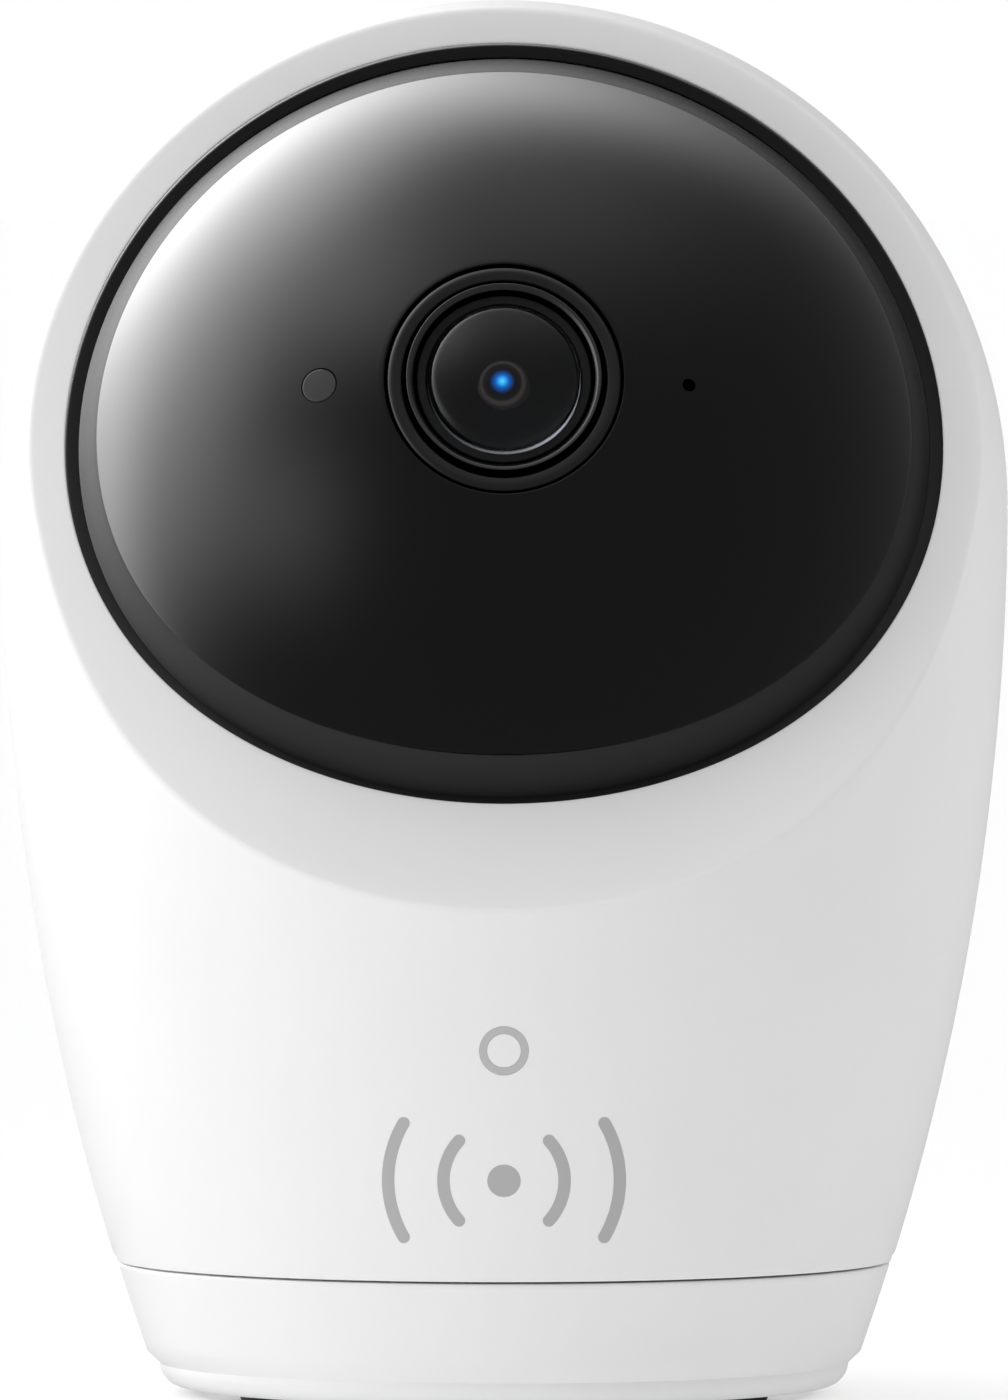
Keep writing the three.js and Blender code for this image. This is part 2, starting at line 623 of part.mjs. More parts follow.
// ---- Control board with the status light behind the front wall ----
const controlFront = -across(turntableRadius, board.controlHalfWidth);
const controlBottom = panPlateTop + 3 * gap;
piece('control_board', block([-board.controlHalfWidth, controlFront, controlBottom],
  [board.controlHalfWidth, controlFront + board.thickness, controlBottom + board.controlHeight]),
finishes.circuitBoard);
piece('status_led', block([-1.2, controlFront - gap - 0.8, light.height - 1.2],
  [1.2, controlFront - gap, light.height + 1.2]), finishes.lightGuide);

// ---- Speaker behind the grille ----
const speakerFront = speakerBack - speaker.thickness;
piece('speaker', rodY(speaker.radius, speakerFront, speakerBack, round.disc, 0, grille.height)
  .subtract(rodY(speaker.radius - 1.4, speakerBack - 0.9, far, round.disc, 0, grille.height)),
finishes.blackPlastic);
const magnetBack = speakerFront - gap;
piece('speaker_magnet', rodY(speaker.magnetRadius, magnetBack - speaker.magnetDepth, magnetBack,
  round.disc, 0, grille.height), finishes.steel);

// ---- Reset button in the rear cover, with its switch ----
const buttonWall = formRadius(button.height);
const flangeFace = formRadius(button.height - button.flangeRadius) - head.wall - 2 * gap;
const flangeBack = flangeFace - button.flangeThickness;
piece('reset_button', rodY(button.radius, flangeBack, buttonWall + 0.2, round.small, 0, button.height)
  .add(rodY(button.flangeRadius, flangeBack, flangeFace, round.small, 0, button.height)),
finishes.whiteTrim);
const switchFace = flangeBack - button.travel - gap;
piece('reset_switch', block([-2.5, switchFace - 2.5, button.height - 2.5],
  [2.5, switchFace, button.height + 2.5]), finishes.chip);

// ---- Antenna strip on the right of the turntable ----
const antennaOuter = across(turntableRadius, antenna.halfWidth) - antenna.edge;
const antennaBottom = panPlateTop + 4 * gap;
piece('antenna_strip', block([antennaOuter - antenna.thickness, -antenna.halfWidth, antennaBottom],
  [antennaOuter, antenna.halfWidth, antennaBottom + antenna.height]), finishes.copperFlex);

// ---- Tilt yoke: a curved strap under the ball, with a hub at each pivot and two legs ----
const legOuter = turntableRadius - yoke.legInset;
const legInner = legOuter - yoke.legThickness;
function tiltYoke() {
  const inside = sphere(yokeInner, round.ball);
  const outside = sphere(yokeOuter, round.ball);
  const strap = outside.subtract(inside)
    .intersect(block([-far, -yoke.halfWidth, -far], [far, yoke.halfWidth, 0]));
  const legTop = -across(yokeOuter, legInner);
  let body = strap;
  for (const side of [-1, 1]) {
    const hub = rodX(yoke.hubRadius, side * (ballFlat + gap), side * far, round.disc).intersect(outside);
    const near = Math.min(side * legInner, side * legOuter);
    const away = Math.max(side * legInner, side * legOuter);
    const leg = block([near, -yoke.legHalfWidth, panPlateTop + gap - head.centreHeight],
      [away, yoke.legHalfWidth, legTop + 4]).subtract(inside);
    body = body.add(hub).add(leg);
  }
  return body.subtract(rodX(pivot.radius + runGap, -far, far, round.disc));
}
piece('tilt_yoke', atBall(tiltYoke()), finishes.blackPlastic);

// ---- Tilt pivots, held by the yoke; the right one carries the fixed gear ----
for (const [side, name] of [[-1, 'tilt_pivot_left'], [1, 'tilt_pivot_right']]) {
  const innerEnd = side < 0 ? pivotHeadInner : tiltMotorOuter + runGap;
  piece(name, atBall(rodX(pivot.radius, side * innerEnd, side * (yokeInner + pivot.reach), round.disc)
    .add(rodX(pivot.headRadius, side * pivotHeadInner, side * pivotHeadOuter, round.disc))), finishes.steel);
}
// The motor sits behind the pivot in the ball's own frame, so the mesh direction turns with the ball.
const gearAboutX = (body) => body.rotate([90, 0, 90]);
const restTurn = (body) => body.rotate([-ball.restLift, 0, 0]);
piece('tilt_fixed_gear', atBall(restTurn(gearAboutX(
  gear(tilt.ringTeeth, tilt.module, tilt.gearThickness, pivot.radius + runGap))
  .translate([tiltGearInner, 0, 0]))), finishes.acetal);

// ---- Ball: front shell, rear shell and window ----
const visorCylinder = (extra) => crossCylinder(visor.cutRadius + extra, visor.cutDistance, visor.cutLift);
const lensHole = rodY(lens.ringOuter + gap, -far, -lens.ringOuter, round.disc);
const windowHole = rodY(sideHole.windowRadius + trimGap, -far, 0, round.small, -sideHole.x);
const micHole = rodY(sideHole.micRadius, -far, 0, round.hole, sideHole.x);
piece('visor', sphere(ballRadius).subtract(sphere(ballRadius - visor.thickness))
  .intersect(visorCylinder(0)).subtract(lensHole).subtract(windowHole).subtract(micHole),
finishes.glossBlack, ballGroup);

function ballFrontShell() {
  const outside = sphere(shellRadius);
  const visorSeat = visorCylinder(runGap).subtract(sphere(visorFloor));
  let body = outside.subtract(sphere(ballInside, round.ballInside))
    .intersect(inFrontOf(ball.splitY - gap / 2));
  for (const side of [-1, 1]) {
    body = body.add(rodX(ball.bossRadius, side * bossInner, side * far, round.disc).intersect(outside));
    const cut = [side * ballFlat, side * far];
    body = body.subtract(block([Math.min(...cut), -far, -far], [Math.max(...cut), far, far]));
  }
  return body.subtract(visorSeat).subtract(lensHole).subtract(windowHole).subtract(micHole)
    .subtract(rodX(pivot.radius + runGap, -far, far, round.disc));
}
piece('ball_front_shell', ballFrontShell(), finishes.bezelPlastic, ballGroup);
piece('ball_rear_shell', sphere(shellRadius).subtract(sphere(shellRadius - ball.rearWall, round.ballInside))
  .intersect(behind(ball.splitY + gap / 2)), finishes.bezelPlastic, ballGroup);

// ---- Lens stack ----
const { ringOuter, ringInner, ringChamfer, ringDepth } = lens;
const depth = (fromFace) => fromFace - ballRadius;
const ringFront = depth(lens.ringFront);
const trimFront = depth(lens.trimFront);
const glassFront = depth(lens.glassFront);
const barrelFront = depth(lens.barrelFront);
const barrelBack = barrelFront + lens.barrelLength;
const stopFront = depth(lens.stopFront);
piece('lens_ring', turnedY([[ringOuter, ringFront + 0.2], [ringOuter - 0.2, ringFront],
  [ringInner, ringFront + ringChamfer], [ringInner, ringFront + ringDepth],
  [ringOuter, ringFront + ringDepth],
  [ringOuter, ringFront + 0.2]], round.plate), finishes.lensRing, ballGroup);
piece('lens_trim_ring', turnedY([[lens.trimOuter, trimFront], [lens.trimInner, trimFront],
  [lens.trimInner, trimFront + lens.trimDepth], [lens.trimOuter, trimFront + lens.trimDepth],
  [lens.trimOuter, trimFront]], round.plate), finishes.lensTrim, ballGroup);

// Outline points of a bulging face, from the axis out to a radius.
function bulge(radius, front, height, steps) {
  const curve = (radius ** 2 + height ** 2) / (2 * height);
  const points = [];
  for (let i = 0; i <= steps; i += 1) {
    const r = radius * i / steps;
    points.push([r, front + curve - Math.sqrt(curve ** 2 - r ** 2)]);
  }
  return points;
}
const glassBack = glassFront + lens.glassBulge + lens.glassEdge;
piece('front_lens', turnedY([...bulge(lens.glassRadius, glassFront, lens.glassBulge, 4),
  [lens.glassRadius, glassBack], [0, glassBack]], round.disc), finishes.lensGlass, ballGroup);
piece('lens_barrel', turnedY([[lens.barrelOuter, barrelFront], [lens.glassRadius + trimGap, barrelFront],
  [lens.glassRadius + trimGap, stopFront], [lens.stopHole, stopFront + lens.stopSlope],
  [lens.stopHole, barrelBack], [lens.barrelOuter, barrelBack],
  [lens.barrelOuter, barrelFront]], round.disc), finishes.blackPlastic, ballGroup);
const rearLensFront = stopFront + lens.stopSlope / 2;
const rearLensRadius = lens.stopHole - trimGap;
piece('rear_lens', turnedY([...bulge(rearLensRadius, rearLensFront, lens.rearLensBulge, 3),
  [rearLensRadius, rearLensFront + 2.4], [0, rearLensFront + 2.4]], round.small),
finishes.coatedGlass, ballGroup);

// ---- Window of the light sensor, and the microphone behind its hole ----
const holeFace = -Math.sqrt(ballRadius ** 2 - sideHole.x ** 2);
piece('light_sensor_window', rodY(sideHole.windowRadius, -far, holeFace + 3, round.small, -sideHole.x)
  .intersect(sphere(ballRadius)), finishes.glossBlack, ballGroup);
const micFront = 2 * gap - across(ballInside, sideHole.x + sideHole.micBodyRadius);
piece('microphone', rodY(sideHole.micBodyRadius, micFront, micFront + 1.4, round.small, sideHole.x),
  finishes.steel, ballGroup);

// ---- Boards and chips in the ball ----
const frontBoardY = depth(board.frontDepth);
const sensorBoardY = barrelBack + gap + 1.3;
const mainBoardY = sensorBoardY + board.thickness + board.mainGap;
const boardDisc = (radius, y) => rodY(radius, y, y + board.thickness, round.disc);
piece('front_board', boardDisc(across(ballInside, frontBoardY) - board.frontRoom, frontBoardY)
  .subtract(rodY(lens.ringOuter + gap, -far, 0, round.disc)), finishes.circuitBoard, ballGroup);
piece('sensor_board', block([-board.sensorHalf, sensorBoardY, -board.sensorHalf],
  [board.sensorHalf, sensorBoardY + board.thickness, board.sensorHalf]), finishes.circuitBoard, ballGroup);
piece('image_sensor', block([-4, sensorBoardY - gap - 0.9, -3],
  [4, sensorBoardY - gap, 3]), finishes.chip, ballGroup);
piece('main_board', boardDisc(tiltGearInner - board.mainRoom, mainBoardY), finishes.circuitBoard, ballGroup);
piece('processor_chip', block([-6, mainBoardY - gap - 1.2, -6],
  [6, mainBoardY - gap, 6]), finishes.chip, ballGroup);
for (const [side, name] of [[-1, 'infrared_led_left'], [1, 'infrared_led_right']]) {
  const ledFront = frontBoardY - gap - 2.2;
  piece(name, rodY(1.6, ledFront, frontBoardY - gap, 12, side * 9, 12), finishes.ledLens, ballGroup);
}

// ---- Tilt motor and its pinion, behind the fixed gear ----
piece('tilt_motor', rodX(tiltMotorRadius, tiltMotorOuter - motor.tiltLength, tiltMotorOuter,
  round.disc, tiltCentres)
  .subtract(rodX(motor.shaftRadius + runGap, tiltMotorOuter - motor.shaftInsert - gap, far, round.hole,
    tiltCentres)), finishes.motorSteel, ballGroup);
piece('tilt_pinion', gearAboutX(gear(tilt.pinionTeeth, tilt.module, tilt.gearThickness, 0)
  .rotate([0, 0, meshTurn(0, tilt.pinionTeeth)]))
  .translate([tiltGearInner, 0, 0])
  .add(rodX(motor.shaftRadius, tiltMotorOuter - motor.shaftInsert, tiltGearInner + tilt.gearThickness,
    round.hole))
  .translate([0, tiltCentres, 0]), finishes.acetal, ballGroup);

export default camera;
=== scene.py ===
import math

import bpy
import numpy as np
from bpy.props import FloatProperty, FloatVectorProperty, IntProperty, PointerProperty
from mathutils import Matrix, Vector


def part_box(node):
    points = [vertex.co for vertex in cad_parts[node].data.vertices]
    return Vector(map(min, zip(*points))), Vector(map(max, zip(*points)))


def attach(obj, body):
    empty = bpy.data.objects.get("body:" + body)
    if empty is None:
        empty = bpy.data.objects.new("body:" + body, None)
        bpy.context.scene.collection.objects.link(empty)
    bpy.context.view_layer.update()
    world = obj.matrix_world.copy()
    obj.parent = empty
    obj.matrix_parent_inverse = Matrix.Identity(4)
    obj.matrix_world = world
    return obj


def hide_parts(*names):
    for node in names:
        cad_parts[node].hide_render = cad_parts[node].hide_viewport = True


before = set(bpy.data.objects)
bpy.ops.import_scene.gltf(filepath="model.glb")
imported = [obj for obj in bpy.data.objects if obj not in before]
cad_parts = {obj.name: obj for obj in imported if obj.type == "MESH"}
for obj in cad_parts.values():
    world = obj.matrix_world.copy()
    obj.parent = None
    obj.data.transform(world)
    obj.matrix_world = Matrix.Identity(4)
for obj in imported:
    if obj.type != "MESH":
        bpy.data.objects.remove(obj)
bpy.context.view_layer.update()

bl_info = {
    "name": "Pan and tilt security camera",
    "version": (1, 0, 0),
    "blender": (4, 5, 0),
    "location": "3D View > Sidebar > Camera maker",
    "description": "Builds the covers, camera ball, lens, base and studio of an indoor security camera",
    "category": "Add Mesh",
}

MM = 0.001
SMOOTH_LIMIT = math.radians(38)
HALF_SPLIT_GAP = 0.15 * MM  # each shell of the camera ball stops this far from the split plane
EDGE_EASE = 0.12 * MM  # how far the small edges of the camera ball are rounded
LINER_EASE = 0.16 * MM  # how far the liner's front edges are rounded
FIT = 0.02 * MM  # clearance of a piece that sits flush in its seat


def linear(code):
    """An sRGB hex colour as linear red, green and blue."""
    values = [int(code[i : i + 2], 16) / 255 for i in (0, 2, 4)]
    return tuple(v / 12.92 if v <= 0.04045 else ((v + 0.055) / 1.055) ** 2.4 for v in values)


def opaque(colour):
    return (*colour, 1.0)


# ---- Where the frame puts the pieces ----
front_low, front_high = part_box("front_shell")
rear_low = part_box("rear_cover")[0]
plate_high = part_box("base_plate")[1]
light_low, light_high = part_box("status_light_ring")
button_low, button_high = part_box("reset_button")
inlet_low, inlet_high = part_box("power_inlet")
foot_low, foot_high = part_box("rubber_foot_2")
FOOT_NODES = ["rubber_foot_1", "rubber_foot_2", "rubber_foot_3", "rubber_foot_4"]
SCREW_NODES = ["base_screw_1", "base_screw_2", "base_screw_3"]
BUTTON_HEIGHT, INLET_HEIGHT = (button_low.z + button_high.z) / 2, (inlet_low.z + inlet_high.z) / 2


def size(name, description, value):
    """A length that a user may change, kept in metres."""
    return FloatProperty(name=name, description=description, default=value, unit="LENGTH", precision=5)


def turn(name, description, degrees):
    return FloatProperty(name=name, description=description, default=math.radians(degrees), unit="ROTATION")


def tint(name, description, code):
    return FloatVectorProperty(
        name=name, description=description, default=linear(code), subtype="COLOR", size=3, min=0, max=1)


class BodySizes(bpy.types.PropertyGroup):
    head_radius: size("Head radius", "Ball-shaped top of the white body", front_high.x)
    centre_height: size("Centre height", "Height of that ball's centre", front_high.z - front_high.x)
    foot_radius: size("Radius at the underside", "Where the side profile meets the ground plane", 26.82 * MM)
    bottom: size("Bottom edge", "Height of the body's lower edge, at the pan seam", front_low.z)
    wall: size("Wall", "Thickness of the covers", 2.2 * MM)
    face_distance: size("Face distance", "Axis of the hollow face, from the ball's centre", 102.0 * MM)
    face_lift: turn("Face lift", "Angle of the hollow face above level", 21.0)
    face_radius: size("Face radius", "Radius of the hollow face", 88.6 * MM)
    face_wall: size("Face wall", "Thickness behind the hollow face", 2.0 * MM)
    cavity_radius: size("Cavity radius", "Round opening that holds the camera ball", 36.2 * MM)
    front_split: size("Front parting plane", "Rear edge of the front cover", front_high.y)
    rear_split: size("Rear parting plane", "Front edge of the rear cover", rear_low.y)
    rim_round: size("Rim rounding", "Rounding of the hood's outer edge", 0.42 * MM)
    lip_round: size("Lip rounding", "Rounding of the opening's edge", 0.25 * MM)
    seam_gap: size("Seam gap", "Open line between the base and the body", 0.17 * MM)
    seam_round: size("Seam rounding", "Rounding along the parting lines", 0.16 * MM)


class BallSizes(bpy.types.PropertyGroup):
    radius: size("Ball radius", "Radius of the dark window's face", 34.5 * MM)
    shell_step: size("Shell step", "How far the shell lies under the window's face", 0.1 * MM)
    wall: size("Wall", "Thickness of the front shell with the window's seat", 2.8 * MM)
    rear_wall: size("Rear wall", "Thickness of the rear shell", 2.2 * MM)
    rest_lift: turn("Rest lift", "Angle that the lens looks up in the stored pose", 18.0)
    window_thickness: size("Window thickness", "Thickness of the dark window", 1.2 * MM)
    window_distance: size("Window cut distance", "Axis of the cut that bounds the window", 86.2 * MM)
    window_lift: turn("Window cut lift", "Angle of that axis above the lens axis", 3.9)
    window_radius: size("Window cut radius", "Radius of that cut", 71.7 * MM)
    window_gap: size("Window gap", "Between the window's edge and the shell", 0.05 * MM)
    flat: size("Pivot flats", "Half width across the flats at the tilt pivots", 33.2 * MM)
    split: size("Split plane", "Plane behind the centre that parts the two shells", 9.0 * MM)
    hole_radius: size("Lens hole", "Hole in the window round the lens ring", 9.12 * MM)
    side_hole: size("Side hole distance", "Light sensor and microphone, from the lens axis", 14.04 * MM)
    liner_outer: size("Liner outside", "Outer radius of the black liner", 36.0 * MM)
    liner_inner: size("Liner inside", "Inner radius of the black liner", 35.0 * MM)
    liner_recess: size("Liner recess", "How far the liner lies under the hollow face", 0.7 * MM)
    liner_depth: size("Liner depth", "How deep the liner goes", 4.8 * MM)


class LensSizes(bpy.types.PropertyGroup):
    ring_outer: size("Ring outside", "Outer radius of the lens ring", 9.0 * MM)
    ring_inner: size("Ring inside", "Inner radius of the lens ring", 7.7 * MM)
    trim_outer: size("Trim outside", "Outer radius of the grey trim ring", 7.4 * MM)
    trim_inner: size("Trim inside", "Inner radius of the grey trim ring", 6.9 * MM)
    glass_radius: size("Glass radius", "Radius of the front lens", 5.8 * MM)
    glass_bulge: size("Glass bulge", "How far the front lens bulges", 1.1 * MM)
    stop_radius: size("Stop radius", "Hole through the barrel", 1.9 * MM)


class DetailSizes(bpy.types.PropertyGroup):
    light_outer: size("Light ring outside", "Outer radius of the status light", light_high.x)
    light_inner: size("Light ring inside", "Inner radius of the status light", 1.3 * MM)
    light_height: size("Light height", "Height of the status light", (light_low.z + light_high.z) / 2)
    mark_height: size("Mark height", "Height of the printed mark's middle", 17.6 * MM)
    mark_stroke: size("Mark stroke", "Width of the mark's lines", 0.95 * MM)
    hole_radius: size("Speaker hole radius", "Radius of one speaker hole", 0.8 * MM)
    hole_pitch: size("Speaker hole pitch", "Distance between speaker holes", 2.6 * MM)
    grille_height: size("Speaker height", "Height of the speaker grille", 24.0 * MM)
    button_radius: size("Button radius", "Radius of the reset button", 2.2 * MM)
    foot_radius: size("Foot radius", "Radius of a rubber foot", (foot_high.x - foot_low.x) / 2)
    slot_count: IntProperty(name="Bracket slots", description="Twist-lock slots in the plate", default=3, min=1)


class Finishes(bpy.types.PropertyGroup):
    white: tint("White", "Covers and base", "F2F2F2")
    trim: tint("Trim white", "Bottom plate and button", "E8E8E8")
    guide: tint("Light guide", "Frosted ring of the status light", "BFBFBF")
    ink: tint("Ink", "Printed mark", "B4B4B4")
    black: tint("Black", "Liner and inner frames", "0E0E0F")
    graphite: tint("Graphite", "Shell of the camera ball", "323233")
    window: tint("Window", "Dark window of the ball", "050506")


# ---- Mesh helpers ----


def joined_rings(rings, closed=False, start_pole=None, end_pole=None):
    """Vertices and faces of a surface through rings of equal length, turned so that it faces outwards."""
    count = len(rings[0])
    points = np.vstack(rings)
    pairs = [(i, i + 1) for i in range(len(rings) - 1)] + ([(len(rings) - 1, 0)] if closed else [])
    around = np.arange(count)
    after = (around + 1) % count
    faces = []
    for a, b in pairs:
        quads = np.stack([a * count + around, a * count + after, b * count + after, b * count + around], 1)
        faces.extend(quads.tolist())
    for pole, row, first in ((start_pole, 0, True), (end_pole, len(rings) - 1, False)):
        if pole is None:
            continue
        points = np.vstack([points, [pole]])
        tip = len(points) - 1
        for k in range(count):
            one, two = row * count + k, row * count + (k + 1) % count
            faces.append([tip, two, one] if first else [tip, one, two])
    volume = 0.0
    middle = points.mean(0)
    for sides in (3, 4):
        corners = np.array([face for face in faces if len(face) == sides], int).reshape(-1, sides)
        p = points[corners] - middle
        for k in range(1, sides - 1):
            volume += np.einsum("ij,ij->", p[:, 0], np.cross(p[:, k], p[:, k + 1]))
    if volume < 0:
        faces = [face[::-1] for face in faces]
    return points, faces


def mesh_object(name, points, faces):
    mesh = bpy.data.meshes.new(name)
    mesh.from_pydata([tuple(map(float, p)) for p in points], [], faces)
    mesh.validate()
    piece = bpy.data.objects.new(name, mesh)
    bpy.context.scene.collection.objects.link(piece)
    return piece


def plain_mesh(piece):
    """Replaces a piece's mesh by the result of its modifiers, which are then removed."""
    graph = bpy.context.evaluated_depsgraph_get()
    result = bpy.data.meshes.new_from_object(piece.evaluated_get(graph), depsgraph=graph)
    piece.modifiers.clear()
    piece.data = result
    return piece


def combine(piece, other, operation="DIFFERENCE"):
    """Cuts another solid from a piece, or adds it, and removes the other."""
    modifier = piece.modifiers.new(operation.title(), "BOOLEAN")
    modifier.object = other
    modifier.operation = operation
    modifier.solver = "MANIFOLD"
    plain_mesh(piece)
    bpy.data.objects.remove(other)
    return piece


def settle(piece, body, nodes, slot, finish=None):
    """Smooth shading with sharp corners kept, a finish, and the body that the piece rides on."""
    piece.data.materials.clear()
    piece.data.materials.append(finish_of(finish or slot))
    for polygon in piece.data.polygons:
        polygon.material_index = 0
    piece.data.shade_smooth()
    piece.data.set_sharp_from_angle(angle=SMOOTH_LIMIT)
    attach(piece, body)
    if nodes:
        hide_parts(*nodes)
    return piece


def curve_through(start, corner, end, steps):
    """Rings that leave one side of a corner and meet the other side smoothly."""
    share = np.linspace(0, 1, steps + 1)
    return [(1 - s) ** 2 * start + 2 * s * (1 - s) * corner + s * s * end for s in share]


def eased(outline, steps=4):
    """Outline points [radius, along, rounding] with each rounded corner turned into a short curve."""
    made = []
    count = len(outline)
    for i, (r, along, ease) in enumerate(outline):
        here = np.array([r, along])
        if ease == 0:
            made.append(here)
            continue
        before = np.array(outline[i - 1][:2]) - here
        after = np.array(outline[(i + 1) % count][:2]) - here
        start = here + before / np.linalg.norm(before) * ease
        end = here + after / np.linalg.norm(after) * ease
        made.extend(curve_through(start, here, end, steps))
    return made


def turned(name, outline, segments, lens_axis=False):
    """A body turned from an outline [radius, along], about Z or about the lens axis Y."""
    angles = np.linspace(0, 2 * math.pi, segments, endpoint=False)

    def ring(r, along):
        first, second = r * np.cos(angles), r * np.sin(angles)
        level = np.full(segments, along)
        return np.stack([first, level, second], 1) if lens_axis else np.stack([first, second, level], 1)

    def pole(along):
        return [0, along, 0] if lens_axis else [0, 0, along]

    start = pole(outline[0][1]) if outline[0][0] < 1e-9 else None
    end = pole(outline[-1][1]) if outline[-1][0] < 1e-9 else None
    rows = [ring(r, along) for r, along in outline if r > 1e-9]
    return mesh_object(name, *joined_rings(rows, closed=start is None, start_pole=start, end_pole=end))


def moved(piece, matrix):
    piece.data.transform(matrix)
    return piece


def bored(piece, radius, start, end, at=(0, 0, 0), segments=48, lens_axis=True):
    """Cuts a round hole through a piece, from start to end along Y or Z."""
    cutter = turned("cutter", [(0, start), (radius, start), (radius, end), (0, end)], segments, lens_axis)
    return combine(piece, moved(cutter, Matrix.Translation(at)))


def seat_of(name, height=0.0):
    """The point at a height over the middle of a node's box."""
    low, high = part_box(name)
    return ((low.x + high.x) / 2, (low.y + high.y) / 2, height)


def crossing(value, low, high):
    """The angle at which value turns positive, for each direction at once."""
    for _ in range(44):
        middle = (low + high) / 2
        past = value(middle) > 0
        low, high = np.where(past, low, middle), np.where(past, middle, high)
    return (low + high) / 2


def axes_for(axis):
    a = np.array(axis) / np.linalg.norm(axis)
    first = np.array([1.0, 0, 0])
    return a, first, np.cross(a, first)


def rays(frame_axes, around, away):
    """Unit directions at an angle away from an axis."""
    a, first, second = frame_axes
    side = np.outer(np.cos(around), first) + np.outer(np.sin(around), second)
    return np.cos(away)[:, None] * a + np.sin(away)[:, None] * side


def step_from(place, angle, sign, length):
    """The angle that lies a given length along a surface from another."""
    tiny = 1e-4
    speed = np.linalg.norm(place(angle + sign * tiny) - place(angle), axis=1) / tiny
    return angle + sign * length / speed


def alike(around, angle):
    """The same angle for every direction."""
    return np.full(len(around), angle)


def rows_between(place, start, end, count):
    return [place(start + (end - start) * s) for s in np.linspace(0, 1, count + 2)[1:-1]]


def edge_towards(point, other, length):
    way = other - point
    return point + way / np.linalg.norm(way, axis=1)[:, None] * length


# ---- The white body's outer form ----


def flank_radius(sizes):
    taper = sizes.head_radius - sizes.foot_radius
    return (sizes.centre_height**2 + taper**2) / (2 * taper)


def form_radius(sizes, z):
    """Radius of the form at a height: a ball above its centre, a long arc below."""
    drop = sizes.centre_height - np.asarray(z, float)
    flank = flank_radius(sizes)
    below = sizes.head_radius - flank + np.sqrt(np.maximum(flank**2 - drop**2, 0))
    above = np.sqrt(np.maximum(sizes.head_radius**2 - drop**2, 0))
    return np.where(drop > 0, below, above)


def form_reach(sizes, way, inset=0.0):
    """Distance from the ball's centre to the form, pulled in by an amount."""
    flank = flank_radius(sizes)
    level = np.hypot(way[:, 0], way[:, 1])
    k = flank - sizes.head_radius + inset
    below = -k * level + np.sqrt(np.maximum(k * k * level**2 - k * k + flank**2, 0))
    return np.where(way[:, 2] < 0, below, sizes.head_radius - inset)


def hollow_reach(way, distance, lift, radius):
    """Distance from the ball's centre to a hollow cylinder about X that lies in front."""
    axis = np.array([-distance * math.cos(lift), distance * math.sin(lift)])
    a = way[:, 1] ** 2 + way[:, 2] ** 2
    b = way[:, 1] * axis[0] + way[:, 2] * axis[1]
    inside = b * b - a * (distance**2 - radius**2)
    reach = (b - np.sqrt(np.maximum(inside, 0))) / np.maximum(a, 1e-12)
    return np.where((inside > 0) & (b > 0) & (a > 1e-9), reach, 1.0)


def flush_points(sizes, x, z, proud):
    """Points on the front of the white body."""
    y = -np.sqrt(form_radius(sizes, z) ** 2 - x**2) - proud
    return np.stack([x, y, z], 1)


def corner_angles(sizes, frame_axes, split):
    """Angles at which the parting plane meets the bottom edge, outside and inside."""
    found = []
    _, first, second = frame_axes
    for inset in (0, sizes.wall):
        radius = float(form_radius(sizes, sizes.bottom)) - inset
        x = math.sqrt(radius**2 - split**2)
        for side in (-1, 1):
            point = np.array([side * x, split, sizes.bottom - sizes.centre_height])
            found.append(math.atan2(point @ second, point @ first) % (2 * math.pi))
    return found


def angles_round(extra=(), count=320):
    return np.unique(np.concatenate([np.linspace(0, 2 * math.pi, count, endpoint=False), extra]))


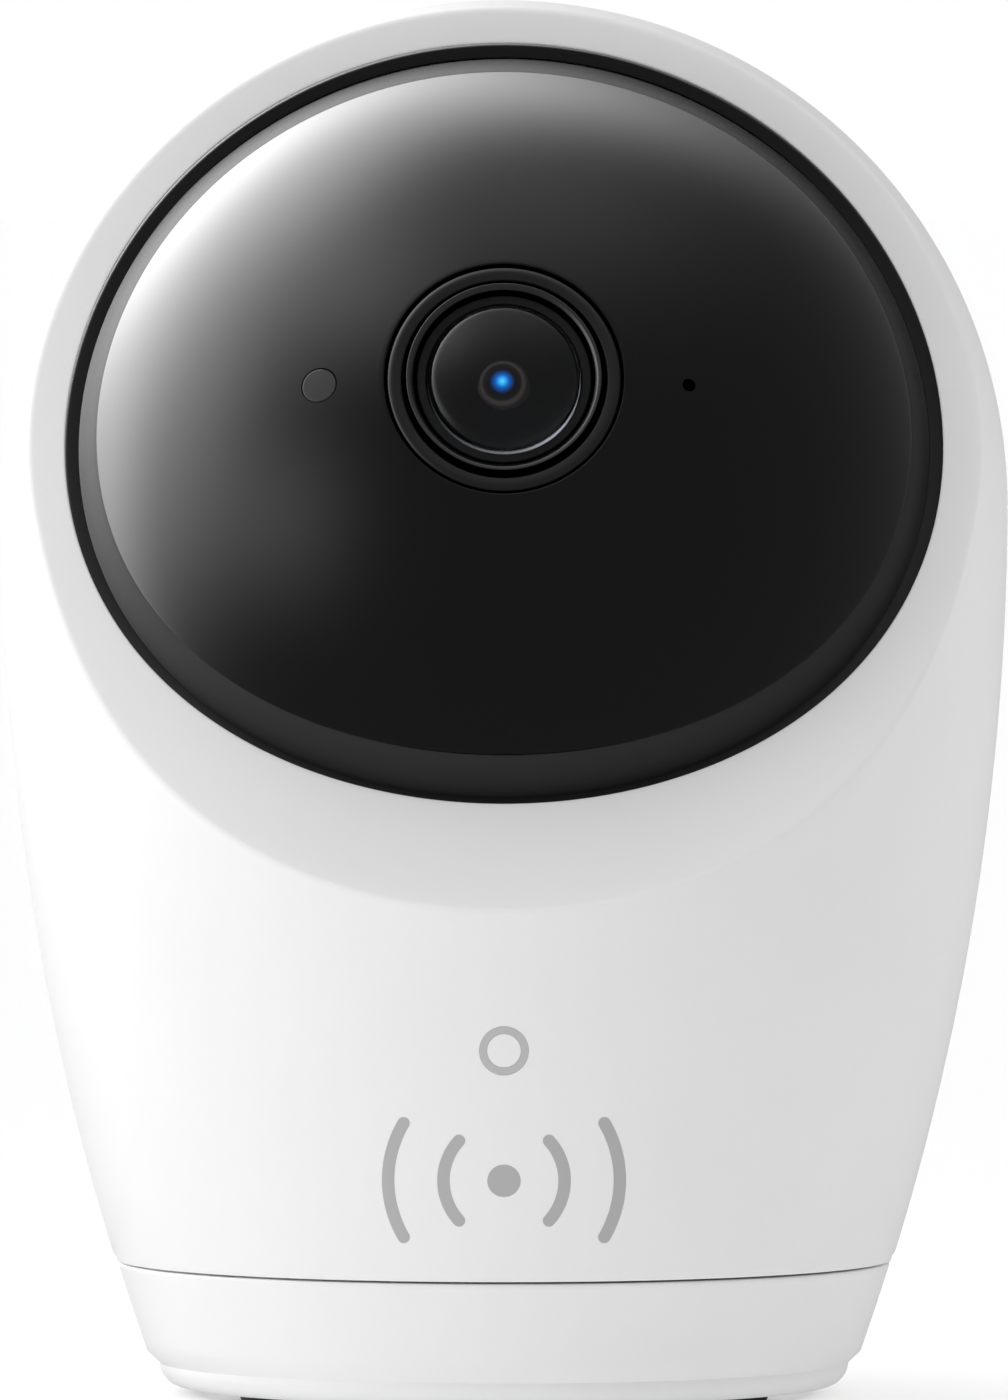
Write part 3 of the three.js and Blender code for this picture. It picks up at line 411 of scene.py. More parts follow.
def front_cover(sizes):
    """The front cover as one closed shell: inside, lip, hollow face, rim, outside and parting edge."""
    centre = np.array([0, 0, sizes.centre_height])
    lift = sizes.face_lift
    frame_axes = axes_for((0, -math.cos(lift), math.sin(lift)))
    around = angles_round(corner_angles(sizes, frame_axes, sizes.front_split))

    def face(way, deeper=0.0):
        return hollow_reach(way, sizes.face_distance, lift, sizes.face_radius + deeper)

    def outside(away):
        way = rays(frame_axes, around, away)
        return centre + way * np.minimum(face(way), form_reach(sizes, way))[:, None]

    def inside(away):
        way = rays(frame_axes, around, away)
        room = np.minimum(form_reach(sizes, way, sizes.wall), face(way, sizes.face_wall))
        return centre + way * np.maximum(sizes.cavity_radius, room)[:, None]

    def past_rim(away):
        way = rays(frame_axes, around, away)
        return face(way) - form_reach(sizes, way)

    def past_lip(away):
        return face(rays(frame_axes, around, away)) - sizes.cavity_radius

    def past_end(place):
        return lambda away: np.maximum(
            place(away)[:, 1] - sizes.front_split, sizes.bottom - place(away)[:, 2])

    zero, half = alike(around, 0.05), alike(around, math.pi - 0.05)
    rim = crossing(past_rim, zero, half)
    lip = crossing(past_lip, zero, rim)
    end_out = crossing(past_end(outside), rim, half)
    end_in = crossing(past_end(inside), lip + 0.05, half)
    lip_in, lip_out = step_from(inside, lip, 1, sizes.lip_round), step_from(outside, lip, 1, sizes.lip_round)
    rim_in, rim_out = step_from(outside, rim, -1, sizes.rim_round), step_from(outside, rim, 1, sizes.rim_round)
    seam_out = step_from(outside, end_out, -1, sizes.seam_round)
    seam_in = step_from(inside, end_in, -1, sizes.seam_round)
    corner_out, corner_in = outside(end_out), inside(end_in)
    rows = [inside(seam_in)]
    rows += rows_between(inside, seam_in, lip_in, 26)
    rows += curve_through(inside(lip_in), inside(lip), outside(lip_out), 5)
    rows += rows_between(outside, lip_out, rim_in, 12)
    rows += curve_through(outside(rim_in), outside(rim), outside(rim_out), 6)
    rows += rows_between(outside, rim_out, seam_out, 52)
    rows += curve_through(outside(seam_out), corner_out,
                          edge_towards(corner_out, corner_in, sizes.seam_round), 4)
    rows += curve_through(edge_towards(corner_in, corner_out, sizes.seam_round), corner_in, inside(seam_in), 3)[:-1]
    return mesh_object("front_moulding", *joined_rings(rows, closed=True))


def back_cover(sizes):
    """The rear cover as one closed bowl."""
    centre = np.array([0, 0, sizes.centre_height])
    frame_axes = axes_for((0, 1, 0))
    around = angles_round(corner_angles(sizes, frame_axes, sizes.rear_split))

    def outside(away):
        way = rays(frame_axes, around, away)
        return centre + way * form_reach(sizes, way)[:, None]

    def inside(away):
        way = rays(frame_axes, around, away)
        return centre + way * np.maximum(sizes.cavity_radius, form_reach(sizes, way, sizes.wall))[:, None]

    def past_end(place):
        return lambda away: np.maximum(sizes.rear_split - place(away)[:, 1], sizes.bottom - place(away)[:, 2])

    zero, half = alike(around, 0.02), alike(around, math.pi * 0.6)
    end_out, end_in = crossing(past_end(outside), zero, half), crossing(past_end(inside), zero, half)
    seam_out = step_from(outside, end_out, -1, sizes.seam_round)
    seam_in = step_from(inside, end_in, -1, sizes.seam_round)
    corner_out, corner_in = outside(end_out), inside(end_in)
    rows = rows_between(outside, zero * 0, seam_out, 48)
    rows += curve_through(outside(seam_out), corner_out,
                          edge_towards(corner_out, corner_in, sizes.seam_round), 4)
    rows += curve_through(edge_towards(corner_in, corner_out, sizes.seam_round), corner_in, inside(seam_in), 3)
    rows += rows_between(inside, seam_in, zero * 0, 30)
    return mesh_object("rear_moulding", *joined_rings(rows, False, outside(zero * 0)[0], inside(zero * 0)[0]))


# ---- The camera ball's own frame ----


def ball_place(body, ball):
    """From the ball's own frame, where the lens looks along -Y, to the object's."""
    return Matrix.Translation((0, 0, body.centre_height)) @ Matrix.Rotation(-ball.rest_lift, 4, "X")


def on_ball(frame_axes, around, centre=0.0):
    """Gives, for a radius, the ring on that ball at each angle from the axis."""
    return lambda radius: lambda away: centre + rays(frame_axes, around, away) * radius


def window_edge(ball, radius, around, frame_axes, extra=0.0):
    """Angle from the lens axis at which the window's outline crosses a ball of that radius."""
    axis = np.array([-ball.window_distance * math.cos(ball.window_lift),
                     ball.window_distance * math.sin(ball.window_lift)])

    def past(away):
        point = rays(frame_axes, around, away) * radius
        return np.hypot(point[:, 1] - axis[0], point[:, 2] - axis[1]) - ball.window_radius - extra

    return crossing(past, alike(around, 0.3), alike(around, 1.7))


def dark_window(ball):
    """The window: a piece of a ball with a round hole, its edges eased."""
    frame_axes = axes_for((0, -1, 0))
    around = angles_round()
    inner = ball.radius - ball.window_thickness
    outside, inside = on_ball(frame_axes, around)(ball.radius), on_ball(frame_axes, around)(inner)
    hole_out = alike(around, math.asin(ball.hole_radius / ball.radius))
    hole_in = alike(around, math.asin(ball.hole_radius / inner))
    edge_out = window_edge(ball, ball.radius, around, frame_axes)
    edge_in = window_edge(ball, inner, around, frame_axes)
    ease = 0.14 * MM / ball.radius
    rows = rows_between(inside, edge_in, hole_in, 12)
    rows += [inside(hole_in)]
    rows += curve_through(outside(hole_out) * (1 - 0.1 * MM / ball.radius), outside(hole_out),
                          outside(hole_out + ease), 3)
    rows += rows_between(outside, hole_out + ease, edge_out - ease, 84)
    rows += curve_through(outside(edge_out - ease), outside(edge_out),
                          outside(edge_out) * (1 - EDGE_EASE / ball.radius), 3)
    rows += [inside(edge_in)]
    return mesh_object("smoked_window", *joined_rings(rows, closed=True))


def ball_shell_front(ball):
    """The dark shell round the window: seat for the window, step, ball face with pivot flats, split edge."""
    frame_axes = axes_for((0, -1, 0))
    around = angles_round()
    radius = ball.radius - ball.shell_step
    seat = ball.radius - ball.window_thickness - 0.3 * MM
    inner = radius - ball.wall

    def outside(away):
        way = rays(frame_axes, around, away)
        return way * np.minimum(radius, ball.flat / np.maximum(np.abs(way[:, 0]), 1e-9))[:, None]

    at = on_ball(frame_axes, around)
    split = ball.split - HALF_SPLIT_GAP
    hole = 9.3 * MM
    step = window_edge(ball, radius, around, frame_axes, ball.window_gap)
    step_low = window_edge(ball, seat, around, frame_axes, ball.window_gap)
    end_out = crossing(lambda away: outside(away)[:, 1] - split, step, alike(around, 2.6))
    end_in = alike(around, math.acos(-split / inner))
    hole_seat = alike(around, math.asin(hole / seat))
    hole_in = alike(around, math.asin(hole / inner))
    ease = EDGE_EASE / radius
    rows = [at(inner)(end_in)]
    rows += rows_between(at(inner), end_in, hole_in, 24)
    rows += [at(inner)(hole_in), at(seat)(hole_seat)]
    rows += rows_between(at(seat), hole_seat, step_low, 10)
    rows += [at(seat)(step_low)]
    rows += curve_through(at(radius - EDGE_EASE)(step), outside(step), outside(step + ease), 3)
    rows += rows_between(outside, step + ease, end_out, 40)
    rows += [outside(end_out)]
    return mesh_object("ball_front_moulding", *joined_rings(rows, closed=True))


def ball_shell_rear(ball):
    frame_axes = axes_for((0, 1, 0))
    around = angles_round(count=200)
    radius = ball.radius - ball.shell_step
    inner = radius - ball.rear_wall
    split = ball.split + HALF_SPLIT_GAP
    at = on_ball(frame_axes, around)
    end_out = alike(around, math.acos(split / radius))
    end_in = alike(around, math.acos(split / inner))
    rows = rows_between(at(radius), end_out * 0, end_out, 34) + [at(radius)(end_out)]
    rows += [at(inner)(end_in)] + rows_between(at(inner), end_in, end_in * 0, 24)
    return mesh_object("ball_rear_moulding", *joined_rings(rows, False, [0, radius, 0], [0, inner, 0]))


def opening_band(body, ball):
    """The black liner: a band of a hollow ball between two copies of the hollow face."""
    centre = np.array([0, 0, body.centre_height])
    frame_axes = axes_for((0, -math.cos(body.face_lift), math.sin(body.face_lift)))
    around = angles_round()
    at = on_ball(frame_axes, around, centre)

    def edge(r, deeper):
        def past(away):
            way = rays(frame_axes, around, away)
            return hollow_reach(way, body.face_distance, body.face_lift, body.face_radius + deeper) - r
        return crossing(past, alike(around, 0.05), alike(around, math.pi * 0.8))

    outer, inner = ball.liner_outer, ball.liner_inner
    front_out, front_in = edge(outer, ball.liner_recess), edge(inner, ball.liner_recess)
    deep = ball.liner_recess + ball.liner_depth
    back_out, back_in = edge(outer, deep), edge(inner, deep)
    ease = LINER_EASE / outer
    face_out, face_in = at(outer)(front_out), at(inner)(front_in)
    rows = [at(outer)(back_out)] + rows_between(at(outer), back_out, front_out + ease, 8)
    rows += curve_through(at(outer)(front_out + ease), face_out, edge_towards(face_out, face_in, LINER_EASE), 3)
    rows += curve_through(edge_towards(face_in, face_out, LINER_EASE), face_in, at(inner)(front_in + ease), 3)
    rows += rows_between(at(inner), front_in + ease, back_in, 8) + [at(inner)(back_in)]
    return mesh_object("black_liner", *joined_rings(rows, closed=True))


# ---- Node trees ----


def join(tree, node, links):
    """Joins or sets a node's inputs. A node given as a value stands for its first output."""
    for socket, value in links.items():
        if isinstance(value, bpy.types.Node):
            value = value.outputs[0]
        if isinstance(value, bpy.types.NodeSocket):
            tree.links.new(value, node.inputs[socket])
        else:
            node.inputs[socket].default_value = value
    return node


def add(tree, kind, links=None, **settings):
    """Adds a node with its settings and links."""
    node = tree.nodes.new(kind)
    for key, value in settings.items():
        setattr(node, key, value)
    return join(tree, node, links or {})


def material_tree(name):
    """A new material, its tree, its main shader and the object's own coordinates."""
    material = bpy.data.materials.new(name)
    material.use_nodes = True
    tree = material.node_tree
    return material, tree, tree.nodes["Principled BSDF"], add(tree, "ShaderNodeTexCoord").outputs["Object"]


def moulded(name, colour, roughness, grain, depth, spread=0.06, shade=0.03, shine=0.5):
    """A moulded plastic: even colour with faint clouding, and the fine grain of the tool's surface."""
    material, tree, shader, place = material_tree(name)
    low = opaque([c * (1 - shade) for c in colour])
    high = opaque([min(1, c * (1 + shade / 3)) for c in colour])
    cloud = add(tree, "ShaderNodeTexNoise", {"Vector": place, "Scale": 1 / (14 * MM), "Detail": 2.0})
    mix = add(tree, "ShaderNodeMix", {0: cloud, 6: low, 7: high}, data_type="RGBA")
    fine = add(tree, "ShaderNodeTexNoise", {"Vector": place, "Scale": 1 / grain, "Detail": 3.0})
    gloss = add(tree, "ShaderNodeMapRange", {0: fine, 1: 0.3, 2: 0.7, 3: roughness - spread, 4: roughness + spread})
    bump = add(tree, "ShaderNodeBump", {"Height": fine, "Distance": depth, "Strength": 1.0})
    join(tree, shader, {"Base Color": mix.outputs[2], "Roughness": gloss, "Normal": bump,
                        "Specular IOR Level": shine})
    return material


def polished(name, colour, roughness, smear, transmission=0.0, ior=1.49):
    """A polished clear or dark piece: sharp gloss, with a faint unevenness of handling."""
    material, tree, shader, place = material_tree(name)
    film = add(tree, "ShaderNodeTexNoise", {"Vector": place, "Scale": 1 / (9 * MM), "Detail": 3.0})
    gloss = add(tree, "ShaderNodeMapRange", {0: film, 1: 0.35, 2: 0.75, 3: roughness, 4: smear})
    join(tree, shader, {"Base Color": opaque(colour), "Roughness": gloss, "IOR": ior,
                        "Transmission Weight": transmission})
    return material


def worked_metal(name, colour, roughness, grain, direction):
    """A metal with the fine marks of its working drawn along one direction."""
    material, tree, shader, place = material_tree(name)
    stretch = add(tree, "ShaderNodeMapping", {"Vector": place, "Scale": direction})
    lines = add(tree, "ShaderNodeTexNoise", {"Vector": stretch, "Scale": 1 / grain, "Detail": 4.0})
    gloss = add(tree, "ShaderNodeMapRange", {0: lines, 1: 0.3, 2: 0.7, 3: roughness * 0.8, 4: roughness * 1.25})
    bump = add(tree, "ShaderNodeBump", {"Height": lines, "Distance": 0.003 * MM, "Strength": 0.6})
    join(tree, shader, {"Base Color": opaque(colour), "Metallic": 1.0, "Roughness": gloss, "Normal": bump})
    return material


def lens_place(tree, place):
    """Coordinates from the ball's centre, turned so that Y runs along the lens axis."""
    body, ball = bpy.context.scene.camera_body, bpy.context.scene.camera_ball
    centred = add(tree, "ShaderNodeVectorMath", {0: place, 1: (0, 0, body.centre_height)}, operation="SUBTRACT")
    return add(tree, "ShaderNodeVectorRotate", {"Vector": centred, "Angle": ball.rest_lift}, rotation_type="X_AXIS")


def turned_metal(name, colour, roughness, pitch):
    """A metal ring faced on a lathe: fine grooves run round the lens axis."""
    material, tree, shader, place = material_tree(name)
    rings = add(tree, "ShaderNodeTexWave", {"Vector": lens_place(tree, place), "Scale": 1 / (pitch * 20),
                                            "Distortion": 0.4, "Detail": 1.0},
                wave_type="RINGS", rings_direction="Y")
    bump = add(tree, "ShaderNodeBump", {"Height": rings.outputs[1], "Distance": 0.004 * MM, "Strength": 0.5})
    join(tree, shader, {"Base Color": opaque(colour), "Metallic": 1.0, "Roughness": roughness, "Normal": bump})
    return material


# Centre of the painted pupil glow, beside and above the lens axis, and the radius where its colours end.
PUPIL_ASIDE, PUPIL_ABOVE, PUPIL_RADIUS = -0.12 * MM, 0.1 * MM, 1.75 * MM
# Emitted pupil colours: the bright cyan middle is a painted highlight, the blues and browns round it a painted glow.
PUPIL_GLOW_COLOURS = ((0.0, "7FE4FF"), (0.12, "2FC0FF"), (0.26, "0F64C0"), (0.42, "08305F"), (0.52, "06080C"),
                 (0.72, "0A0A0B"), (0.84, "3A332E"), (1.0, "141312"))


def glowing_pupil_lens():
    """Rear lens element: the coating's deep blue is emitted as a painted glow, with a painted highlight brightest in
    the middle of the pupil.
    """
    material, tree, shader, place = material_tree("blue_glass_painted_glow")
    parts = add(tree, "ShaderNodeSeparateXYZ", {0: lens_place(tree, place)})
    aside = add(tree, "ShaderNodeMath", {0: parts.outputs[0], 1: PUPIL_ASIDE}, operation="SUBTRACT")
    upper = add(tree, "ShaderNodeMath", {0: parts.outputs[2], 1: PUPIL_ABOVE}, operation="SUBTRACT")
    flat = add(tree, "ShaderNodeCombineXYZ", {0: aside, 2: upper})
    radius = add(tree, "ShaderNodeVectorMath", {0: flat}, operation="LENGTH")
    share = add(tree, "ShaderNodeMapRange", {0: radius.outputs["Value"], 1: 0.0, 2: PUPIL_RADIUS})
    ramp = add(tree, "ShaderNodeValToRGB", {0: share})
    while len(ramp.color_ramp.elements) < len(PUPIL_GLOW_COLOURS):
        ramp.color_ramp.elements.new(0.5)
    for element, (where, code) in zip(ramp.color_ramp.elements, PUPIL_GLOW_COLOURS):
        element.position = where
        element.color = opaque(linear(code))
    # Painted glow: the pupil's colours are emitted as light, though the lens is no lamp.
    join(tree, shader, {"Base Color": ramp, "Emission Color": ramp, "Emission Strength": 4.0,
                        "Roughness": 0.05, "IOR": 1.6})
    return material


def circuit_board():
    """Glass epoxy board under green solder mask: copper tracks show as slightly lighter bands."""
    material, tree, shader, place = material_tree("solder_masked_board")
    colours = {"Color1": "1C5A3C", "Color2": "174F35", "Mortar": "3D8A5E"}
    tracks = add(tree, "ShaderNodeTexBrick", {"Vector": place, "Scale": 1 / (9 * MM), "Mortar Size": 0.03})
    join(tree, tracks, {socket: opaque(linear(code)) for socket, code in colours.items()})
    bump = add(tree, "ShaderNodeBump", {"Height": tracks.outputs[1], "Distance": 0.03 * MM, "Strength": 0.5})
    join(tree, shader, {"Base Color": tracks, "Roughness": 0.35, "Normal": bump})
    return material


_made = {}


def finish_of(finish):
    """The material for a finish, made once."""
    if finish in _made:
        return _made[finish]
    colours = bpy.context.scene.camera_finishes
    makers = {
        # ABS moulded in a spark-eroded tool: an even satin white that keeps soft highlights wide
        "white_plastic": lambda: moulded("spark_eroded_white_abs", colours.white, 0.42, 0.32 * MM, 0.006 * MM),
        # ABS with a finer, flatter texture on the parts that face down
        "white_trim": lambda: moulded("fine_matt_white_abs", colours.trim, 0.55, 0.22 * MM, 0.006 * MM),
        # frosted polycarbonate, a flat light grey until its lamp is lit
        "light_guide": lambda: moulded("frosted_polycarbonate", colours.guide, 0.5, 0.2 * MM, 0.002 * MM),
        # pad printing ink, dull and slightly darker than the guide
        "ink": lambda: moulded("pad_printing_ink", colours.ink, 0.6, 0.2 * MM, 0.001 * MM),
        # black ABS, lightly textured, so that edges catch a dull grey line
        "black_plastic": lambda: moulded("black_textured_abs", colours.black, 0.5, 0.25 * MM, 0.006 * MM),
        # graphite polycarbonate with a fine satin face that picks up broad, weak highlights
        "bezel_plastic": lambda: moulded("graphite_polycarbonate", colours.graphite, 0.46, 0.25 * MM,
                                         0.001 * MM, spread=0.03, shine=0.16),
        # smoked acrylic, polished: nearly black with a clear, mirror-like gloss
        "gloss_window": lambda: polished("smoked_acrylic", colours.window, 0.06, 0.075),
        # black anodised aluminium turned on a lathe: dark, with fine rings of sheen
        "lens_ring": lambda: turned_metal("black_anodised_aluminium", linear("4A4A4C"), 0.24, 0.12 * MM),
        # grey anodised aluminium, faced bright: a thin light line round the lens
        "lens_trim": lambda: turned_metal("grey_anodised_aluminium", linear("5C5C5D"), 0.25, 0.1 * MM),
        # optical glass with a neutral coating: darkly clear, with a soft grey gloss
        "lens_glass": lambda: polished("coated_optical_glass", linear("7C8087"), 0.07, 0.08, 1.0, 1.46),
        # flat black lacquer inside the lens barrel: swallows light, so the pupil stands in the dark
        "flat_black": lambda: moulded("flat_black_lacquer", linear("070708"), 0.75, 0.5 * MM, 0.001 * MM),
        # rear lens: blue pupil emitted as a painted glow, with a painted highlight in its middle
        "coated_glass": glowing_pupil_lens,
        # moulded rubber: dull, finely pitted
        "rubber": lambda: moulded("moulded_rubber", linear("2B2B2C"), 0.8, 0.4 * MM, 0.015 * MM),
        # zinc plated steel: bright with a fine drawn grain
        "steel": lambda: worked_metal("zinc_plated_steel", linear("B9BBBE"), 0.3, 0.25 * MM, (1, 1, 8)),
        # stamped can of a small motor, brushed along its length
        "motor_steel": lambda: worked_metal("stamped_motor_steel", linear("C2C4C6"), 0.26, 0.3 * MM, (8, 8, 1)),
        # acetal: milky, waxy surface with low gloss
        "acetal": lambda: moulded("natural_acetal", linear("E9E7DF"), 0.38, 0.5 * MM, 0.002 * MM),
        "circuit_board": circuit_board,
        # epoxy chip package: fine matt black
        "chip": lambda: moulded("moulded_epoxy", linear("1D1D1F"), 0.6, 0.12 * MM, 0.004 * MM),
        # tinted polycarbonate over the light sensor: a little greyer and duller than the window round it
        "sensor_window": lambda: polished("tinted_polycarbonate", linear("29292A"), 0.14, 0.17, ior=1.5),
        # epoxy lens of an infrared lamp: smoked violet gloss
        "led_lens": lambda: polished("smoked_epoxy", linear("3A2C33"), 0.08, 0.12),
        # polyimide film over copper: amber with a soft sheen
        "copper_flex": lambda: worked_metal("polyimide_film", linear("B4733E"), 0.4, 0.4 * MM, (1, 1, 6)),
        # vinyl jacket: smooth, semi-matt dark grey
        "cable": lambda: moulded("vinyl_jacket", linear("303032"), 0.5, 0.6 * MM, 0.004 * MM),
    }
    _made[finish] = makers[finish]()
    return _made[finish]


def new_tree(name, inputs):
    """A geometry node tree with a Geometry input, named inputs and one Geometry output."""
    tree = bpy.data.node_groups.new(name, "GeometryNodeTree")
    tree.interface.new_socket("Geometry", in_out="INPUT", socket_type="NodeSocketGeometry")
    tree.interface.new_socket("Geometry", in_out="OUTPUT", socket_type="NodeSocketGeometry")
    names = {}
    for label, value in inputs.items():
        kind = "NodeSocketInt" if isinstance(value, int) else "NodeSocketFloat"
        socket = tree.interface.new_socket(label, in_out="INPUT", socket_type=kind)
        socket.default_value = value
        names[label] = socket.identifier
    return tree, add(tree, "NodeGroupInput").outputs, names


def close_tree(tree, geometry, material):
    """Ends a tree in Realize Instances and Set Material."""
    real = add(tree, "GeometryNodeRealizeInstances", {0: geometry})
    add(tree, "NodeGroupOutput", {0: add(tree, "GeometryNodeSetMaterial", {0: real, "Material": material})})


def run_tree(piece, tree, names, values):
    modifier = piece.modifiers.new(tree.name, "NODES")
    modifier.node_group = tree
    for label, value in values.items():
        modifier[names[label]] = value
    return plain_mesh(piece)


def speaker_holes_tree(material):
    """Cuts a hexagonal field of round holes through the cover, along Y."""
    tree, given, names = new_tree("speaker_holes", {
        "Hole radius": 0.0008, "Pitch": 0.0026, "Height": 0.024, "Depth": 0.03, "Middle": 0.03})
    wide = add(tree, "ShaderNodeMath", {0: given["Pitch"], 1: 6.0}, operation="MULTIPLY")
    tall = add(tree, "ShaderNodeMath", {0: given["Pitch"], 1: 2 * math.sqrt(3)}, operation="MULTIPLY")
    grid = add(tree, "GeometryNodeMeshGrid", {"Size X": wide, "Size Y": tall, "Vertices X": 7, "Vertices Y": 5})
    row = add(tree, "ShaderNodeMath", {0: add(tree, "GeometryNodeInputIndex"), 1: 5.0}, operation="MODULO")
    odd = add(tree, "ShaderNodeMath", {0: row, 1: 2.0}, operation="MODULO")
    half = add(tree, "ShaderNodeMath", {0: given["Pitch"], 1: 0.5}, operation="MULTIPLY")
    shift = add(tree, "ShaderNodeMath", {0: odd, 1: half}, operation="MULTIPLY")
    stagger = add(tree, "GeometryNodeSetPosition", {
        "Geometry": grid, "Offset": add(tree, "ShaderNodeCombineXYZ", {0: shift})})
    away = add(tree, "ShaderNodeVectorMath", {0: add(tree, "GeometryNodeInputPosition")}, operation="LENGTH")
    reach = add(tree, "ShaderNodeMath", {0: given["Pitch"], 1: 2.05}, operation="MULTIPLY")
    far = add(tree, "FunctionNodeCompare", {0: away.outputs["Value"], 1: reach}, operation="GREATER_THAN")
    field = add(tree, "GeometryNodeDeleteGeometry", {0: stagger, 1: far})
    punch = add(tree, "GeometryNodeMeshCylinder", {"Vertices": 28, "Radius": given["Hole radius"],
                                                   "Depth": given["Depth"]})
    punches = add(tree, "GeometryNodeInstanceOnPoints", {"Points": field, "Instance": punch})
    upright = add(tree, "GeometryNodeTransform", {
        "Geometry": add(tree, "GeometryNodeRealizeInstances", {0: punches}),
        "Translation": add(tree, "ShaderNodeCombineXYZ", {1: given["Middle"], 2: given["Height"]}),
        "Rotation": (math.pi / 2, 0, 0)})
    cut = add(tree, "GeometryNodeMeshBoolean", {0: given["Geometry"], 1: upright},
              operation="DIFFERENCE", solver="MANIFOLD")
    close_tree(tree, cut, material)
    return tree, names


def feet_tree(material):
    """Sets one foot at each corner of a rectangle."""
    tree, given, names = new_tree("rubber_feet", {"Width": 0.03, "Length": 0.02})
    corners = add(tree, "GeometryNodeMeshGrid", {"Size X": given["Width"], "Size Y": given["Length"],
                                                 "Vertices X": 2, "Vertices Y": 2})
    feet = add(tree, "GeometryNodeInstanceOnPoints", {"Points": corners, "Instance": given["Geometry"]})
    close_tree(tree, feet, material)
    return tree, names


def screws_tree(material):
    """Puts a cross-head screw at each point: head, shank and a cross sunk in the head."""
    tree, given, names = new_tree("cross_head_screws", {
        "Head radius": 0.0019, "Head height": 0.0011, "Shank radius": 0.0009, "Length": 0.0051})
    radius, height, length = given["Head radius"], given["Head height"], given["Length"]
    shares = {"rim": (height, 0.25), "disc": (height, 0.75), "disc_rise": (height, 0.6249), "narrow": (radius, 0.86),
              "shank_rise": (length, 0.499), "cross": (radius, 1.2), "slit": (radius, 0.28), "sink": (height, 1.3)}
    part = {name: add(tree, "ShaderNodeMath", {0: whole, 1: share}, operation="MULTIPLY")
            for name, (whole, share) in shares.items()}
    shank_rise = add(tree, "ShaderNodeMath", {0: height, 1: part["shank_rise"]})
    crown = add(tree, "GeometryNodeMeshCone", {"Vertices": 32, "Radius Bottom": part["narrow"],
                                               "Radius Top": radius, "Depth": part["rim"]})
    disc = add(tree, "GeometryNodeMeshCylinder", {"Vertices": 32, "Radius": radius, "Depth": part["disc"]})
    shank = add(tree, "GeometryNodeMeshCylinder", {"Vertices": 20, "Radius": given["Shank radius"],
                                                   "Depth": length})
    whole = add(tree, "GeometryNodeMeshBoolean", {}, operation="UNION", solver="EXACT")
    for solid, rise in ((crown, 0.0), (disc, part["disc_rise"]), (shank, shank_rise)):
        join(tree, whole, {1: add(tree, "GeometryNodeTransform", {
            "Geometry": solid, "Translation": add(tree, "ShaderNodeCombineXYZ", {2: rise})})})
    blades = add(tree, "GeometryNodeMeshBoolean", {}, operation="UNION", solver="EXACT")
    blade_size = add(tree, "ShaderNodeCombineXYZ", {0: part["cross"], 1: part["slit"], 2: part["sink"]})
    blade = add(tree, "GeometryNodeMeshCube", {"Size": blade_size})
    for spin in (0.0, math.pi / 2):
        join(tree, blades, {1: add(tree, "GeometryNodeTransform", {"Geometry": blade, "Rotation": (0, 0, spin)})})
    sunk = add(tree, "GeometryNodeMeshBoolean", {0: whole, 1: blades}, operation="DIFFERENCE", solver="EXACT")
    screws = add(tree, "GeometryNodeInstanceOnPoints", {"Points": given["Geometry"], "Instance": sunk})
    close_tree(tree, screws, material)
    return tree, names


def bracket_slots_tree(material):
    """Cuts twist-lock slots, a round entry with a curved track each, evenly round the plate."""
    tree, given, names = new_tree("bracket_slots", {
        "Count": 3, "Circle radius": 0.011, "Width": 0.0044, "Entry radius": 0.0036,
        "Sweep": math.radians(40), "Start": math.pi / 2, "Depth": 0.006})
    track = add(tree, "GeometryNodeCurveArc", {"Resolution": 24, "Radius": given["Circle radius"],
                                               "Start Angle": 0.0, "Sweep Angle": given["Sweep"]})
    profile = add(tree, "GeometryNodeCurvePrimitiveQuadrilateral", {"Width": given["Width"],
                                                                    "Height": given["Depth"]})
    swept = add(tree, "GeometryNodeCurveToMesh", {"Curve": track, "Profile Curve": profile, "Fill Caps": True})
    entry = add(tree, "GeometryNodeTransform", {
        "Geometry": add(tree, "GeometryNodeMeshCylinder", {"Vertices": 48, "Radius": given["Entry radius"],
                                                           "Depth": given["Depth"]}),
        "Translation": add(tree, "ShaderNodeCombineXYZ", {0: given["Circle radius"]})})
    points = add(tree, "GeometryNodePoints", {"Count": given["Count"]})
    portion = add(tree, "ShaderNodeMath", {0: 2 * math.pi, 1: given["Count"]}, operation="DIVIDE")
    spin = add(tree, "ShaderNodeMath", {0: add(tree, "GeometryNodeInputIndex"), 1: portion}, operation="MULTIPLY")
    angle = add(tree, "ShaderNodeMath", {0: spin, 1: given["Start"]})
    turn_by = add(tree, "ShaderNodeCombineXYZ", {2: angle})
    plate = given["Geometry"]
    for cutter in (swept, entry):
        placed = add(tree, "GeometryNodeInstanceOnPoints", {"Points": points, "Instance": cutter,
                                                            "Rotation": turn_by})
        real = add(tree, "GeometryNodeRealizeInstances", {0: placed})
        plate = add(tree, "GeometryNodeMeshBoolean", {0: plate, 1: real}, operation="DIFFERENCE", solver="EXACT")
    close_tree(tree, plate, material)
    return tree, names


# ---- Operators ----


class MakeFrontCover(bpy.types.Operator):
    """Makes the front cover with its hollow face and the seat of the status light"""

    bl_idname = "camera_maker.front_cover"
    bl_label = "Front cover"

    def execute(self, context):
        body, detail = context.scene.camera_body, context.scene.camera_details
        cover = front_cover(body)
        bored(cover, detail.light_outer + FIT, -0.05, -0.025, (0, 0, detail.light_height), 96)
        cover.visible_glossy = False
        settle(cover, "pan_head", ["front_shell"], "white_plastic")
        return {"FINISHED"}


